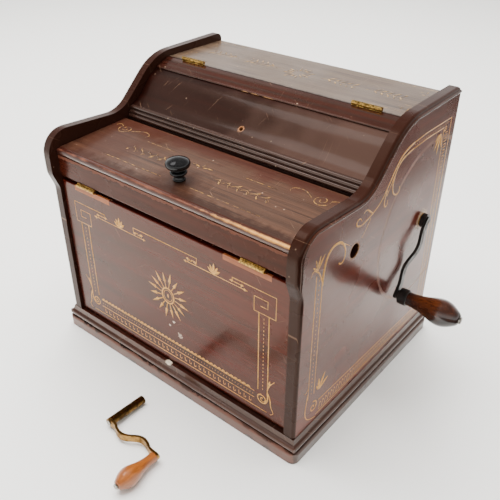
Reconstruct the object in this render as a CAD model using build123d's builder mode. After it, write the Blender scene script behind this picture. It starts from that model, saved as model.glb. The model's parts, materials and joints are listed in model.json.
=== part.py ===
"""Hand-cranked paper-roll organette: a table-top reed box with a roll-top case.

Frame: +X to the crank side, -Y to the front door, +Z up, millimetres.
The origin is the centre of the underside, half way between the side panels.
"""

import os
from math import acos, atan2, cos, degrees, pi, radians, sin, sqrt, tan

from build123d import *

# --- case ---------------------------------------------------------------
CASE_WIDTH = 385.0  # over the outer faces of the side panels
SIDE_THICKNESS = 14.0
HALF_OUTER = CASE_WIDTH / 2
HALF_INNER = HALF_OUTER - SIDE_THICKNESS
BOARD_PLAY = 1.5  # each end of a swinging board stops this short of the side
FRONT_Y = -153.6  # lower front edge of the side panels
BULGE_Y = -161.5  # upper front edge, which swells forward
REAR_Y = 154.0
PLINTH_HEIGHT = 31.0
PLINTH_REACH = 7.5  # how far the plinth stands out past the panels
CORNER_ROUND = 9.0
TOP_Z = 343.3  # upper face of the top board
TOP_BOARD_THICKNESS = 9.3
BACK_THICKNESS = 10.0
BOTTOM_THICKNESS = 12.0
EDGE_ROUND = 4.0  # rounding of the side panels' outer edge
BEAD_RADIUS = 1.7
BEAD_INSET = 5.2

# Corners of a side panel and the radius that rounds each one (y, z, radius).
SIDE_CORNERS = [
    (FRONT_Y, PLINTH_HEIGHT, 0),
    (FRONT_Y, 222.0, 22),
    (BULGE_Y, 243.0, 22),
    (BULGE_Y, 297.0, 30),
    (-43.0, 290.5, 45),
    (22.5, 351.5, 75),
    (REAR_Y, 354.0, 8),
    (REAR_Y, PLINTH_HEIGHT, 0),
]

# --- front ---------------------------------------------------------------
DOOR_FACE_Y = -149.5
DOOR_THICKNESS = 11.0
DOOR_BOTTOM = 33.5
DOOR_TOP = 232.5
RAIL_BOTTOM = 237.5
RAIL_TOP = 265.8
RAIL_THICKNESS = 10.0
DOOR_HINGE = (-150.2, 235.0)  # y, z of the barrel axis
DOOR_HINGE_X = 129.5
DOOR_HINGE_LENGTH = 32.0
PATCH_LENGTH = 64.0
PATCH_HEIGHT = 6.5
PATCH_DEPTH = 3.0
PATCH_CENTRES = (-121.3, 121.3)

# --- lid ------------------------------------------------------------------
LID_PIVOT = (-41.0, 276.2)  # y, z of the pivot pins
LID_SLOPE = 2.86  # degrees, falling to the front
LID_THICKNESS = 9.0
LID_LENGTH = 104.0  # pivot to the back of the nosing
NOSING_WIDTH = 6.5
KNOB_FROM_PIVOT = 77.5
LID_PIN_RADIUS = 2.0

# --- roll-top flap ---------------------------------------------------------
FLAP_HINGE = (45.0, 346.2)  # y, z of the barrel axis
FLAP_HINGE_X = 131.0
FLAP_HINGE_LENGTH = 38.0
FLAP_TOP_FRONT = (23.0, 333.0)
FLAP_THICKNESS = 8.0
FLAP_FOOT = (-26.0, 296.0)
KNOB_HOLE_RADIUS = 2.7
FLAP_REST = 279.8

# --- crank and drive --------------------------------------------------------
CRANK_AXIS = (98.7, 201.5)  # y, z
CRANK_THROW = 95.0
CRANK_ANGLE = -126.0  # degrees from +Y towards +Z
SHAFT_RADIUS = 4.0
RUNNING = 0.06  # radial clearance of the running fits
INNER_THROW = 14.0
THROW_X = 80.0
ROD_LENGTH = 126.5
ROD_THICKNESS = 8.0
GEAR_MODULE = 2.5
PINION_TEETH = 16
TAKE_UP_TEETH = 36
GEAR_X = 163.0
GEAR_WIDTH = 7.0
BACKLASH = 0.5
TAKE_UP_Y = 88.0
SUPPLY_AXIS = (-61.4, 235.0)
SPINDLE_RADIUS = 4.0
BORE_RADIUS = 8.5
BUSH_RADIUS = 8.0
GRIP_START = 207.0
GRIP_LENGTH = 74.0
GRIP_PIN_RADIUS = 2.5

# --- bellows -----------------------------------------------------------------
MIDDLE_BOARD = (118.0, 128.0)  # z of its two faces
MIDDLE_FRONT, MIDDLE_REAR = -130.0, 74.0
FEEDER_HINGE = (-127.0, 117.7)
FEEDER_REACH = 193.0
FEEDER_INNER, FEEDER_OUTER = 6.0, 158.0
BELLOWS_BOARD = 8.0
RESERVOIR_HINGE = (-127.0, 128.3)
RESERVOIR_ANGLE = 9.0
RESERVOIR_REACH = 178.0
RESERVOIR_X = (-120.0, 158.0)
CLOTH = 2.5

# --- wind chest ---------------------------------------------------------------
CHEST_Y = (-12.0, 52.0)
CHEST_Z = (228.0, 280.0)
CHEST_RIGHT = 158.0
CHEST_WALL = 8.0
NOTES = 25
NOTE_PITCH = 12.6

# --- rewind crank, lying on the table -------------------------------------------
REWIND_SLEEVE_X = -1.7
REWIND_THROW = 77.0
REWIND_ARM_Y = -253.5
REWIND_TILT = 3.7
REWIND_PIVOT = (-292.5, 11.5)
REWIND_SLEEVE_LENGTH = 50.0
REWIND_GRIP_LENGTH = 54.0


def take_up_height():
    """Height of the take-up spool's axis that puts its gear in mesh with the pinion."""
    centres = GEAR_MODULE * (PINION_TEETH + TAKE_UP_TEETH) / 2
    return CRANK_AXIS[1] + sqrt(centres**2 - (CRANK_AXIS[0] - TAKE_UP_Y) ** 2)


TAKE_UP_AXIS = (TAKE_UP_Y, take_up_height())


def write(builder, name):
    """Labels a finished piece and writes its STEP file."""
    builder.part.label = name
    export_step(builder.part, f"parts/{name}.step")


def along_x(y, z, x):
    """A plane square to X at x, whose origin stands at y, z."""
    return Plane(origin=(x, y, z), x_dir=(0, 1, 0), z_dir=(1, 0, 0))


def slab(x, y, z):
    """A box from its limits along the three axes, in the current builder."""
    centre = ((x[0] + x[1]) / 2, (y[0] + y[1]) / 2, (z[0] + z[1]) / 2)
    with Locations(centre):
        Box(x[1] - x[0], y[1] - y[0], z[1] - z[0])


def cut_slab(x, y, z):
    """The same box, taken away from the current builder."""
    centre = ((x[0] + x[1]) / 2, (y[0] + y[1]) / 2, (z[0] + z[1]) / 2)
    with Locations(centre):
        Box(x[1] - x[0], y[1] - y[0], z[1] - z[0], mode=Mode.SUBTRACT)


def rod(axis, x, radius, mode=Mode.ADD):
    """A round bar along X, from x[0] to x[1], about the axis at (y, z)."""
    middle = Location(((x[0] + x[1]) / 2, axis[0], axis[1]), (0, 90, 0))
    with Locations(middle):
        Cylinder(radius, x[1] - x[0], mode=mode)


def inset_corners(corners, inset):
    """The corners of an open outline moved sideways by inset, to its right."""
    moved = []
    for i, (y, z, radius) in enumerate(corners):
        before = corners[max(i - 1, 0)]
        after = corners[min(i + 1, len(corners) - 1)]
        first = atan2(z - before[1], y - before[0]) if i else None
        second = atan2(after[1] - z, after[0] - y) if i < len(corners) - 1 else None
        first = second if first is None else first
        second = first if second is None else second
        middle = (first + second) / 2
        reach = inset / cos((second - first) / 2)
        left_turn = second > first
        new_radius = radius + inset if left_turn else radius - inset
        moved.append((y + reach * sin(middle), z - reach * cos(middle), max(new_radius, 0)))
    return moved


# --------------------------------------------------------------------------
# Case
# --------------------------------------------------------------------------
def side_panel(name, side):
    """One shaped side with its rounded edge; side is +1 on the crank side."""
    inner_x = HALF_INNER if side > 0 else -HALF_OUTER
    with BuildPart() as panel:
        with BuildSketch(Plane.YZ.offset(inner_x)):
            with BuildLine():
                points = [(y, z) for y, z, _ in SIDE_CORNERS]
                FilletPolyline(*points, radius=[r for _, _, r in SIDE_CORNERS], close=True)
            make_face()
        extrude(amount=SIDE_THICKNESS)
        outer = panel.faces().sort_by(Axis.X)[-1 if side > 0 else 0]
        rim = [e for e in outer.edges() if e.center().Z > PLINTH_HEIGHT + 1]
        rim = [e for e in rim if not (e.center().Y > REAR_Y - 1 and e.length > 60)]
        fillet(rim, radius=EDGE_ROUND)
        for y, z in (LID_PIVOT,):
            start = side * (HALF_INNER - 1)
            hole = sorted((start, side * (HALF_INNER + 6)))
            rod((y, z), hole, LID_PIN_RADIUS + RUNNING, mode=Mode.SUBTRACT)
        if side > 0:
            through = (HALF_INNER - 1, HALF_OUTER + 1)
            rod(CRANK_AXIS, through, BUSH_RADIUS, mode=Mode.SUBTRACT)
            rod(SUPPLY_AXIS, through, BORE_RADIUS, mode=Mode.SUBTRACT)
        for axis, plate_side in BEARING_PLATES:
            if plate_side == side:
                for y, z in screw_places(axis):
                    reach = sorted((side * (HALF_INNER - 1), side * (HALF_INNER + 8)))
                    rod((y, z), reach, SCREW_RADIUS, mode=Mode.SUBTRACT)
    write(panel, name)


def side_bead(side):
    """The half-round bead that follows the roll-top curve on a side's outer face."""
    curve = [(BULGE_Y, 237.0, 0)] + SIDE_CORNERS[3:6] + [(REAR_Y - 5, 354.0, 0)]
    corners = inset_corners(curve, BEAD_INSET)
    with BuildPart() as bead:
        with BuildLine(Plane.YZ.offset(side * HALF_OUTER)) as path:
            points = [(y, z) for y, z, _ in corners]
            FilletPolyline(*points, radius=[r for _, _, r in corners[1:-1]])
        start = Plane(origin=path.line @ 0, x_dir=(side, 0, 0), z_dir=path.line % 0)
        with BuildSketch(start):
            Circle(BEAD_RADIUS)
            with Locations((-BEAD_RADIUS, 0)):
                Rectangle(2 * BEAD_RADIUS, 4 * BEAD_RADIUS, mode=Mode.SUBTRACT)
        sweep()
    return bead.part


def side_beads():
    """The beads of both sides."""
    with BuildPart() as beads:
        for side in (-1, 1):
            add(side_bead(side))
    write(beads, "side_beads")


def plinth_profile():
    """Section of the plinth moulding: x runs outwards from the panel face, y up."""
    with BuildSketch() as profile:
        with BuildLine():
            Polyline((-12, 0), (PLINTH_REACH, 0), (PLINTH_REACH, 11))
            ThreePointArc((PLINTH_REACH, 11), (6.3, 14.2), (3.2, 15.5))
            Line((3.2, 15.5), (3.2, 17))
            ThreePointArc((3.2, 17), (6.2, 20.7), (3.0, 24.4))
            Line((3.0, 24.4), (2.0, 25.2))
            ThreePointArc((2.0, 25.2), (0.9, 28.7), (0.4, PLINTH_HEIGHT))
            Polyline((0.4, PLINTH_HEIGHT), (-12, PLINTH_HEIGHT), (-12, 0))
        make_face()
    return profile.sketch


def plinth_length(turn):
    """One mitred length of the plinth, 0 front, 90 right, 180 rear, 270 left."""
    half_depth = (REAR_Y - FRONT_Y) / 2
    centre_y = (REAR_Y + FRONT_Y) / 2
    across = turn in (0, 180)
    face = half_depth if across else HALF_OUTER
    half_run = HALF_OUTER if across else half_depth
    reach = 20
    with BuildPart() as length:
        section = Plane(
            origin=(half_run + reach, -face, 0), x_dir=(0, -1, 0), z_dir=(-1, 0, 0)
        )
        with BuildSketch(section):
            add(plinth_profile())
        extrude(amount=2 * (half_run + reach))
        for end in (-1, 1):
            x, y = end * half_run, -face
            with BuildSketch(Plane.XY.offset(-1)):
                with BuildLine():
                    Polyline(
                        (x + end * reach, y - reach),
                        (x + end * 2 * reach, y - reach),
                        (x + end * 2 * reach, y + reach),
                        (x - end * reach, y + reach),
                        close=True,
                    )
                make_face()
            extrude(amount=PLINTH_HEIGHT + 2, mode=Mode.SUBTRACT)
        with BuildSketch(Plane.XY.offset(-1)):
            width = 2 * (half_run + PLINTH_REACH)
            depth = 2 * (face + PLINTH_REACH)
            RectangleRounded(width, depth, CORNER_ROUND)
        extrude(amount=PLINTH_HEIGHT + 2, mode=Mode.INTERSECT)
    return Location((0, centre_y, 0), (0, 0, turn)) * length.part


def plinth():
    """The plinth: a front, a rear and a pair of sides, mitred together."""
    names = {"plinth_front": (0,), "plinth_sides": (90, 270), "plinth_rear": (180,)}
    for name, turns in names.items():
        with BuildPart() as piece:
            for turn in turns:
                add(plinth_length(turn))
        write(piece, name)


def case_boards():
    """The plain boards between the two sides."""
    width = (-HALF_INNER, HALF_INNER)
    inside_x = (-HALF_OUTER + 12, HALF_OUTER - 12)
    inside_y = (FRONT_Y + 12, REAR_Y - 12)
    with BuildPart() as bottom:
        slab(inside_x, inside_y, (0, BOTTOM_THICKNESS))
    write(bottom, "bottom_board")

    top_under = TOP_Z - TOP_BOARD_THICKNESS
    with BuildPart() as back:
        slab(width, (REAR_Y - BACK_THICKNESS, REAR_Y), (PLINTH_HEIGHT, top_under))
    write(back, "back_panel")

    front_edge = FLAP_HINGE[0] + HINGE_GAP / 2
    with BuildPart() as top:
        slab(width, (front_edge, REAR_Y), (top_under, TOP_Z))
        fillet(top.edges().filter_by(Axis.X).sort_by(Axis.Y)[-2:].sort_by(Axis.Z)[-1], 2)
        for x in (-FLAP_HINGE_X, FLAP_HINGE_X):
            cut_slab(
                (x - FLAP_HINGE_LENGTH / 2, x + FLAP_HINGE_LENGTH / 2),
                (front_edge - 1, front_edge + LEAF),
                (TOP_Z - 10.5, TOP_Z + 1),
            )
    write(top, "top_board")

    rail_y = (DOOR_FACE_Y, DOOR_FACE_Y + RAIL_THICKNESS)
    with BuildPart() as rail:
        slab(width, rail_y, (RAIL_BOTTOM, RAIL_TOP))
        fillet(rail.edges().filter_by(Axis.X).sort_by(Axis.Y)[:2].sort_by(Axis.Z)[0], 2.5)
        for x in (-DOOR_HINGE_X, DOOR_HINGE_X):
            cut_slab(
                (x - DOOR_HINGE_LENGTH / 2, x + DOOR_HINGE_LENGTH / 2),
                (DOOR_HINGE[0] - 1, DOOR_HINGE[0] + 11),
                (RAIL_BOTTOM - 1, RAIL_BOTTOM + LEAF),
            )
    write(rail, "front_rail")


def battens():
    """The inner battens: flap rest, door stop, cleats and the chest's bracket."""
    width = (-HALF_INNER, HALF_INNER)
    shelf = (CHEST_Z[0], CHEST_Z[0] + 24)
    with BuildPart() as strips:
        slab(width, (-33.0, -20.0), (262.0, FLAP_REST))
        slab(width, (FRONT_Y + 12, FRONT_Y + 22), (BOTTOM_THICKNESS, PLINTH_HEIGHT))
        for side in (-1, 1):
            x = sorted((side * HALF_INNER, side * (HALF_INNER - 14)))
            slab(x, (-125.0, 70.0), (MIDDLE_BOARD[0] - 12, MIDDLE_BOARD[0]))
        slab((CHEST_RIGHT, HALF_INNER), (-10.0, 20.0), (CHEST_Z[0], CHEST_Z[0] + 4))
        slab((CHEST_RIGHT, CHEST_RIGHT + 3), (-10.0, 20.0), shelf)
        slab((HALF_INNER - 3, HALF_INNER), (-10.0, 20.0), shelf)
    write(strips, "inner_battens")


# --------------------------------------------------------------------------
# Hinges
# --------------------------------------------------------------------------
HINGE_GAP = 1.0
LEAF = 0.9
BARREL_RADIUS = 2.5
HINGE_PIN_RADIUS = 1.0
KNUCKLES = 5
KNUCKLE_GAP = 0.15


def hinge_leaf(plane, length, near, start, depth, moving):
    """One leaf with its knuckles, in a plane whose x is the pin and -z runs into the joint.

    near is the distance of the leaf from the pin's axis, and start and depth say
    where the leaf begins and ends below that axis.
    """
    sign = -1 if moving else 1
    pitch = length / KNUCKLES
    with BuildPart(plane) as leaf:
        with Locations((0, sign * (near + LEAF / 2), -(start + depth) / 2)):
            Box(length, LEAF, depth - start)
        for k in range(KNUCKLES):
            if (k % 2 == 1) == moving:
                x = -length / 2 + pitch * (k + 0.5)
                run = pitch - KNUCKLE_GAP
                with Locations((x, sign * (near + LEAF) / 2, -start / 2 - 0.3)):
                    Box(run, near + LEAF, start + 0.6)
                with Locations(Location((x, 0, 0), (0, 90, 0))):
                    Cylinder(BARREL_RADIUS, run)
        with Locations(Location((0, 0, 0), (0, 90, 0))):
            Cylinder(HINGE_PIN_RADIUS + RUNNING, length + 2, mode=Mode.SUBTRACT)
    return leaf.part


def hinges():
    """The two hinges of the roll-top flap and the two of the front door."""
    flap_planes = [
        Plane(origin=(x, *FLAP_HINGE), x_dir=(1, 0, 0), z_dir=(0, 0, 1))
        for x in (-FLAP_HINGE_X, FLAP_HINGE_X)
    ]
    door_planes = [
        Plane(origin=(x, *DOOR_HINGE), x_dir=(1, 0, 0), z_dir=(0, -1, 0))
        for x in (-DOOR_HINGE_X, DOOR_HINGE_X)
    ]
    flap_sizes = (FLAP_HINGE_LENGTH, HINGE_GAP / 2, 2.8, 13.0)
    door_sizes = (DOOR_HINGE_LENGTH, BARREL_RADIUS, 0.5, 10.5)

    with BuildPart() as fixed:
        for plane in flap_planes:
            add(hinge_leaf(plane, *flap_sizes, moving=False))
        for plane in door_planes:
            add(hinge_leaf(plane, *door_sizes, moving=False))
    write(fixed, "hinge_fixed_leaves")

    with BuildPart() as flap_leaves:
        for plane in flap_planes:
            add(hinge_leaf(plane, *flap_sizes, moving=True))
    write(flap_leaves, "flap_hinge_leaves")

    with BuildPart() as door_leaves:
        for plane in door_planes:
            add(hinge_leaf(plane, *door_sizes, moving=True))
    write(door_leaves, "door_hinge_leaves")

    with BuildPart() as pins:
        for plane in flap_planes:
            with Locations(plane.location * Location((0, 0, 0), (0, 90, 0))):
                Cylinder(HINGE_PIN_RADIUS, FLAP_HINGE_LENGTH)
        for plane in door_planes:
            with Locations(plane.location * Location((0, 0, 0), (0, 90, 0))):
                Cylinder(HINGE_PIN_RADIUS, DOOR_HINGE_LENGTH)
    write(pins, "hinge_pins")


# --------------------------------------------------------------------------
# Front door
# --------------------------------------------------------------------------
def door():
    """The front door, with two strips of bare wood let into its top edge."""
    half = HALF_INNER - BOARD_PLAY
    depth = (DOOR_FACE_Y, DOOR_FACE_Y + DOOR_THICKNESS)
    with BuildPart() as panel:
        slab((-half, half), depth, (DOOR_BOTTOM, DOOR_TOP))
        front = panel.faces().sort_by(Axis.Y)[0]
        chamfer(front.edges(), length=0.8)
        for x in PATCH_CENTRES:
            cut_slab(
                (x - PATCH_LENGTH / 2, x + PATCH_LENGTH / 2),
                (depth[0] - 1, depth[0] + PATCH_DEPTH),
                (DOOR_TOP - PATCH_HEIGHT, DOOR_TOP + 1),
            )
        cut_door_leaves()
    write(panel, "door_panel")

    with BuildPart() as strips:
        for x in PATCH_CENTRES:
            slab(
                (x - PATCH_LENGTH / 2, x + PATCH_LENGTH / 2),
                (depth[0], depth[0] + PATCH_DEPTH),
                (DOOR_TOP - PATCH_HEIGHT, DOOR_TOP),
            )
        cut_door_leaves()
    write(strips, "door_patch_strips")


def cut_door_leaves():
    """The shallow seats of the door's two hinge leaves."""
    for x in (-DOOR_HINGE_X, DOOR_HINGE_X):
        cut_slab(
            (x - DOOR_HINGE_LENGTH / 2, x + DOOR_HINGE_LENGTH / 2),
            (DOOR_HINGE[0] - 1, DOOR_HINGE[0] + 10.6),
            (DOOR_TOP - LEAF, DOOR_TOP + 1),
        )


# --------------------------------------------------------------------------
# Lid
# --------------------------------------------------------------------------
def lid():
    """The sloping lid: board, rounded nosing, turned knob and two pivot pins."""
    half = HALF_INNER - BOARD_PLAY
    normal = (0, -sin(radians(LID_SLOPE)), cos(radians(LID_SLOPE)))
    frame = Plane(origin=(0, *LID_PIVOT), x_dir=(1, 0, 0), z_dir=normal)
    radius = LID_THICKNESS / 2
    knob_at = (0, -KNOB_FROM_PIVOT, radius)

    with BuildPart(frame) as board:
        with Locations((0, -LID_LENGTH / 2, 0)):
            Box(2 * half, LID_LENGTH, LID_THICKNESS)
        with Locations(Location((0, 0, 0), (0, 90, 0))):
            Cylinder(radius, 2 * half)
        with Locations(Location((0, 0, 0), (0, 90, 0))):
            Cylinder(LID_PIN_RADIUS, 2 * half + 2, mode=Mode.SUBTRACT)
        with Locations(knob_at):
            Cylinder(KNOB_TENON_RADIUS, 14, mode=Mode.SUBTRACT)
    write(board, "lid_board")

    with BuildPart(frame) as pins:
        for end in (-1, 1):
            with Locations(Location((end * (half - 8), 0, 0), (0, 90, 0))):
                Cylinder(LID_PIN_RADIUS, 28)
    write(pins, "lid_pivot_pins")

    with BuildPart() as nosing:
        section = Plane(origin=frame.from_local_coords((-half, 0, 0)), x_dir=frame.y_dir, z_dir=(1, 0, 0))
        with BuildSketch(section):
            with BuildLine():
                back = -LID_LENGTH
                front = back - NOSING_WIDTH
                Polyline((back, -radius), (back, radius), (back - 1.2, radius - 0.9))
                ThreePointArc((back - 1.2, radius - 0.9), (front, 0), (back - 1.2, -radius))
                Line((back - 1.2, -radius), (back, -radius))
            make_face()
        extrude(amount=2 * half)
    write(nosing, "lid_nosing")

    with BuildPart() as knob:
        spot = frame.from_local_coords(knob_at)
        with BuildSketch(Plane(origin=spot, x_dir=(1, 0, 0), z_dir=-frame.y_dir)):
            with BuildLine():
                Polyline((0, -6), (KNOB_TENON_RADIUS, -6), (KNOB_TENON_RADIUS, 0), (6.6, 0))
                ThreePointArc((6.6, 0), (7.2, 1.3), (6.2, 2.4))
                Spline((6.2, 2.4), (5.4, 5.2), (6.4, 8.0), tangents=((-0.4, 1), (0.8, 1)))
                ThreePointArc((6.4, 8.0), (9.8, 9.5), (7.2, 11.4))
                Spline((7.2, 11.4), (6.0, 13.0), (8.0, 15.0), tangents=((-1, 0.6), (1, 0.3)))
                ThreePointArc((8.0, 15.0), (13.2, 17.1), (14.0, 19.6))
                Spline((14.0, 19.6), (10.0, 24.6), (0, 27.0), tangents=((0, 1), (-1, 0)))
                Line((0, 27.0), (0, -6))
            make_face()
        revolve(axis=Axis(spot, frame.z_dir))
    write(knob, "lid_knob")


KNOB_TENON_RADIUS = 3.5


# --------------------------------------------------------------------------
# Roll-top flap
# --------------------------------------------------------------------------
def flap():
    """The ogee flap: curved panel, grooved top rail and reeded foot moulding."""
    half = HALF_INNER - BOARD_PLAY
    top_y, top_z = FLAP_TOP_FRONT
    foot_y, foot_z = FLAP_FOOT
    rear = FLAP_HINGE[0] - HINGE_GAP / 2
    section = Plane.YZ.offset(-half)

    with BuildPart() as panel:
        with BuildSketch(section):
            with BuildLine():
                outer = Spline(
                    (top_y, top_z),
                    (4.0, 321.0),
                    (-13.0, 303.5),
                    (foot_y, foot_z),
                    tangents=((-1, -0.28), (-1, -0.42)),
                )
                drop = Line(outer @ 1, (foot_y, foot_z - 10.5))
                inner = Spline(
                    drop @ 1,
                    (-8.0, 297.5),
                    (10.5, 313.5),
                    (top_y + 4, top_z - 10.0),
                    tangents=((1, 0.42), (1, 0.28)),
                )
                Line(inner @ 1, outer @ 0)
            make_face()
        extrude(amount=2 * half)
        spot = (0, *KNOB_HOLE)
        with Locations(Location(Plane(origin=spot, z_dir=(0, -0.55, 0.83)).location)):
            Cylinder(KNOB_HOLE_RADIUS, 30, mode=Mode.SUBTRACT)
    write(panel, "flap_panel")

    with BuildPart() as rail:
        with BuildSketch(section):
            with BuildLine():
                Polyline(
                    (top_y, top_z),
                    (top_y + 4, top_z - 10),
                    (rear, TOP_Z - 11),
                    (rear, TOP_Z),
                    (rear - 5.5, TOP_Z - 1.4),
                    (rear - 6.4, TOP_Z - 3.2),
                    (rear - 7.6, TOP_Z - 2.2),
                    (rear - 13.0, TOP_Z - 4.6),
                    (rear - 14.0, TOP_Z - 6.4),
                    (rear - 15.2, TOP_Z - 5.6),
                    (rear - 20.4, TOP_Z - 8.0),
                )
                ThreePointArc(
                    (rear - 20.4, TOP_Z - 8.0),
                    (rear - 22.6, TOP_Z - 9.0),
                    (rear - 22.3, TOP_Z - 9.9),
                )
                Line((rear - 22.3, TOP_Z - 9.9), (top_y, top_z))
            make_face()
        extrude(amount=2 * half)
        for x in (-FLAP_HINGE_X, FLAP_HINGE_X):
            cut_slab(
                (x - FLAP_HINGE_LENGTH / 2, x + FLAP_HINGE_LENGTH / 2),
                (rear - LEAF, rear + 1),
                (FLAP_HINGE[1] - 13.0, TOP_Z + 1),
            )
    write(rail, "flap_top_rail")

    with BuildPart() as foot:
        with BuildSketch(section):
            with BuildLine():
                Polyline((foot_y, foot_z - 10.5), (foot_y, foot_z), (foot_y - 1.0, foot_z - 0.4))
                start = (foot_y - 1.0, foot_z - 0.4)
                for k in range(REEDS):
                    end = (start[0] - REED_STEP[0], start[1] - REED_STEP[1])
                    middle = (
                        (start[0] + end[0]) / 2 - REED_BULGE * REED_STEP[1] / REED_PITCH,
                        (start[1] + end[1]) / 2 + REED_BULGE * REED_STEP[0] / REED_PITCH,
                    )
                    ThreePointArc(start, middle, end)
                    start = end
                Polyline(start, (foot_y + 2, 280.2), (foot_y + 2, 283.5), (foot_y, foot_z - 10.5))
            make_face()
        extrude(amount=2 * half)
    write(foot, "flap_foot_moulding")


KNOB_HOLE = (-13.5, 303.0)
REEDS = 3
REED_STEP = (2.2, 4.9)
REED_PITCH = sqrt(REED_STEP[0] ** 2 + REED_STEP[1] ** 2)
REED_BULGE = 1.7


# --------------------------------------------------------------------------
# Bearings
# --------------------------------------------------------------------------
SCREW_RADIUS = 1.5
PLATE_THICKNESS = 2.5
PLATE_SIZE = (20.0, 40.0)
# Every spindle end that runs in a plate on the inside of a case side.
BEARING_PLATES = [
    (CRANK_AXIS, -1),
    (SUPPLY_AXIS, -1),
    (SUPPLY_AXIS, 1),
    (TAKE_UP_AXIS, -1),
    (TAKE_UP_AXIS, 1),
]


def screw_places(axis):
    """Where the two screws of a bearing plate go, as (y, z)."""
    return [(axis[0], axis[1] - 15), (axis[0], axis[1] + 15)]


def bearings():
    """The bearing plates with their screws, and the bush of the crank."""
    with BuildPart() as plates:
        for axis, side in BEARING_PLATES:
            face = side * HALF_INNER
            x = sorted((face, face - side * PLATE_THICKNESS))
            with BuildSketch(along_x(axis[0], axis[1], x[0])):
                RectangleRounded(*PLATE_SIZE, 5)
                Circle(SPINDLE_RADIUS + RUNNING, mode=Mode.SUBTRACT)
                with Locations((0, -15), (0, 15)):
                    Circle(SCREW_RADIUS, mode=Mode.SUBTRACT)
            extrude(amount=x[1] - x[0])
    write(plates, "bearing_plates")

    with BuildPart() as screws:
        for axis, side in BEARING_PLATES:
            face = side * (HALF_INNER - PLATE_THICKNESS)
            for place in screw_places(axis):
                rod(place, sorted((face, face + side * 9)), SCREW_RADIUS)
                rod(place, sorted((face, face - side * 1.6)), 3.0)
    write(screws, "bearing_screws")

    with BuildPart() as bush:
        rod(CRANK_AXIS, (HALF_INNER - 3, HALF_OUTER + 0.8), BUSH_RADIUS)
        rod(CRANK_AXIS, (HALF_INNER - 3, HALF_INNER), 12.0)
        bore = (HALF_INNER - 5, HALF_OUTER + 3)
        rod(CRANK_AXIS, bore, SHAFT_RADIUS + RUNNING, mode=Mode.SUBTRACT)
    write(bush, "crank_bush")


# --------------------------------------------------------------------------
# Gears
# --------------------------------------------------------------------------
PRESSURE = radians(20)


def gear_points(teeth, turn):
    """Outline of an involute spur gear, with one tooth centred at angle turn."""
    pitch = GEAR_MODULE * teeth / 2
    base = pitch * cos(PRESSURE)
    tip = pitch + 0.85 * GEAR_MODULE
    root = pitch - 1.2 * GEAR_MODULE
    half_tooth = (pi * GEAR_MODULE - BACKLASH) / 4 / pitch
    spread = half_tooth + tan(PRESSURE) - PRESSURE

    def half_angle(radius):
        if radius <= base:
            return spread
        slant = acos(base / radius)
        return spread - (tan(slant) - slant)

    first = max(base, root)
    radii = [first + (tip - first) * k / 4 for k in range(5)]
    if root < base:
        radii.insert(0, root)
    points = []
    for tooth in range(teeth):
        middle = turn + 2 * pi * tooth / teeth
        for radius in radii:
            angle = middle - half_angle(radius)
            points.append((radius * cos(angle), radius * sin(angle)))
        for radius in reversed(radii):
            angle = middle + half_angle(radius)
            points.append((radius * cos(angle), radius * sin(angle)))
    return points


def gears():
    """The pinion on the crankshaft and the gear that it drives on the take-up spool."""
    line = atan2(TAKE_UP_AXIS[1] - CRANK_AXIS[1], TAKE_UP_AXIS[0] - CRANK_AXIS[0])
    with BuildPart() as pinion:
        with BuildSketch(along_x(*CRANK_AXIS, GEAR_X)):
            with BuildLine():
                Polyline(*gear_points(PINION_TEETH, line), close=True)
            make_face()
            Circle(SHAFT_RADIUS, mode=Mode.SUBTRACT)
        extrude(amount=GEAR_WIDTH)
    write(pinion, "drive_pinion")

    with BuildPart() as wheel:
        with BuildSketch(along_x(*TAKE_UP_AXIS, GEAR_X)):
            with BuildLine():
                gap_at_mesh = line + pi + pi / TAKE_UP_TEETH
                Polyline(*gear_points(TAKE_UP_TEETH, gap_at_mesh), close=True)
            make_face()
            Circle(SPINDLE_RADIUS, mode=Mode.SUBTRACT)
            with PolarLocations(25, 5):
                Circle(8, mode=Mode.SUBTRACT)
        extrude(amount=GEAR_WIDTH)
    write(wheel, "take_up_gear")


# --------------------------------------------------------------------------
# Spools
# --------------------------------------------------------------------------
def spool(name, axis, flanges, flange_radius, core_radius):
    """A wooden roller with two thin flanges, bored for its spindle."""
    with BuildPart() as roller:
        rod(axis, flanges, core_radius)
        rod(axis, (flanges[0], flanges[0] + 3), flange_radius)
        rod(axis, (flanges[1] - 3, flanges[1]), flange_radius)
        rod(axis, (flanges[0] - 1, flanges[1] + 1), SPINDLE_RADIUS, mode=Mode.SUBTRACT)
    write(roller, name)


def spools():
    """The take-up and supply rollers, their steel spindles and the paper roll."""
    spool("take_up_spool", TAKE_UP_AXIS, (-168.0, 158.0), 28.0, 11.0)
    with BuildPart() as spindle:
        rod(TAKE_UP_AXIS, (-HALF_INNER + 0.5, HALF_INNER - 0.5), SPINDLE_RADIUS)
    write(spindle, "take_up_spindle")

    spool("supply_spool", SUPPLY_AXIS, (-170.0, 170.0), 26.0, 9.0)
    with BuildPart() as supply:
        rod(SUPPLY_AXIS, (-HALF_INNER + 0.5, HALF_INNER), SPINDLE_RADIUS)
        with BuildSketch(along_x(*SUPPLY_AXIS, HALF_INNER)):
            Rectangle(SQUARE, SQUARE)
        extrude(amount=7)
    write(supply, "supply_spindle")

    with BuildPart() as paper:
        rod(SUPPLY_AXIS, (-166.5, 166.5), 22.0)
        rod(SUPPLY_AXIS, (-168.0, 168.0), 9.0, mode=Mode.SUBTRACT)
    write(paper, "music_roll")


SQUARE = 5.0


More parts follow.
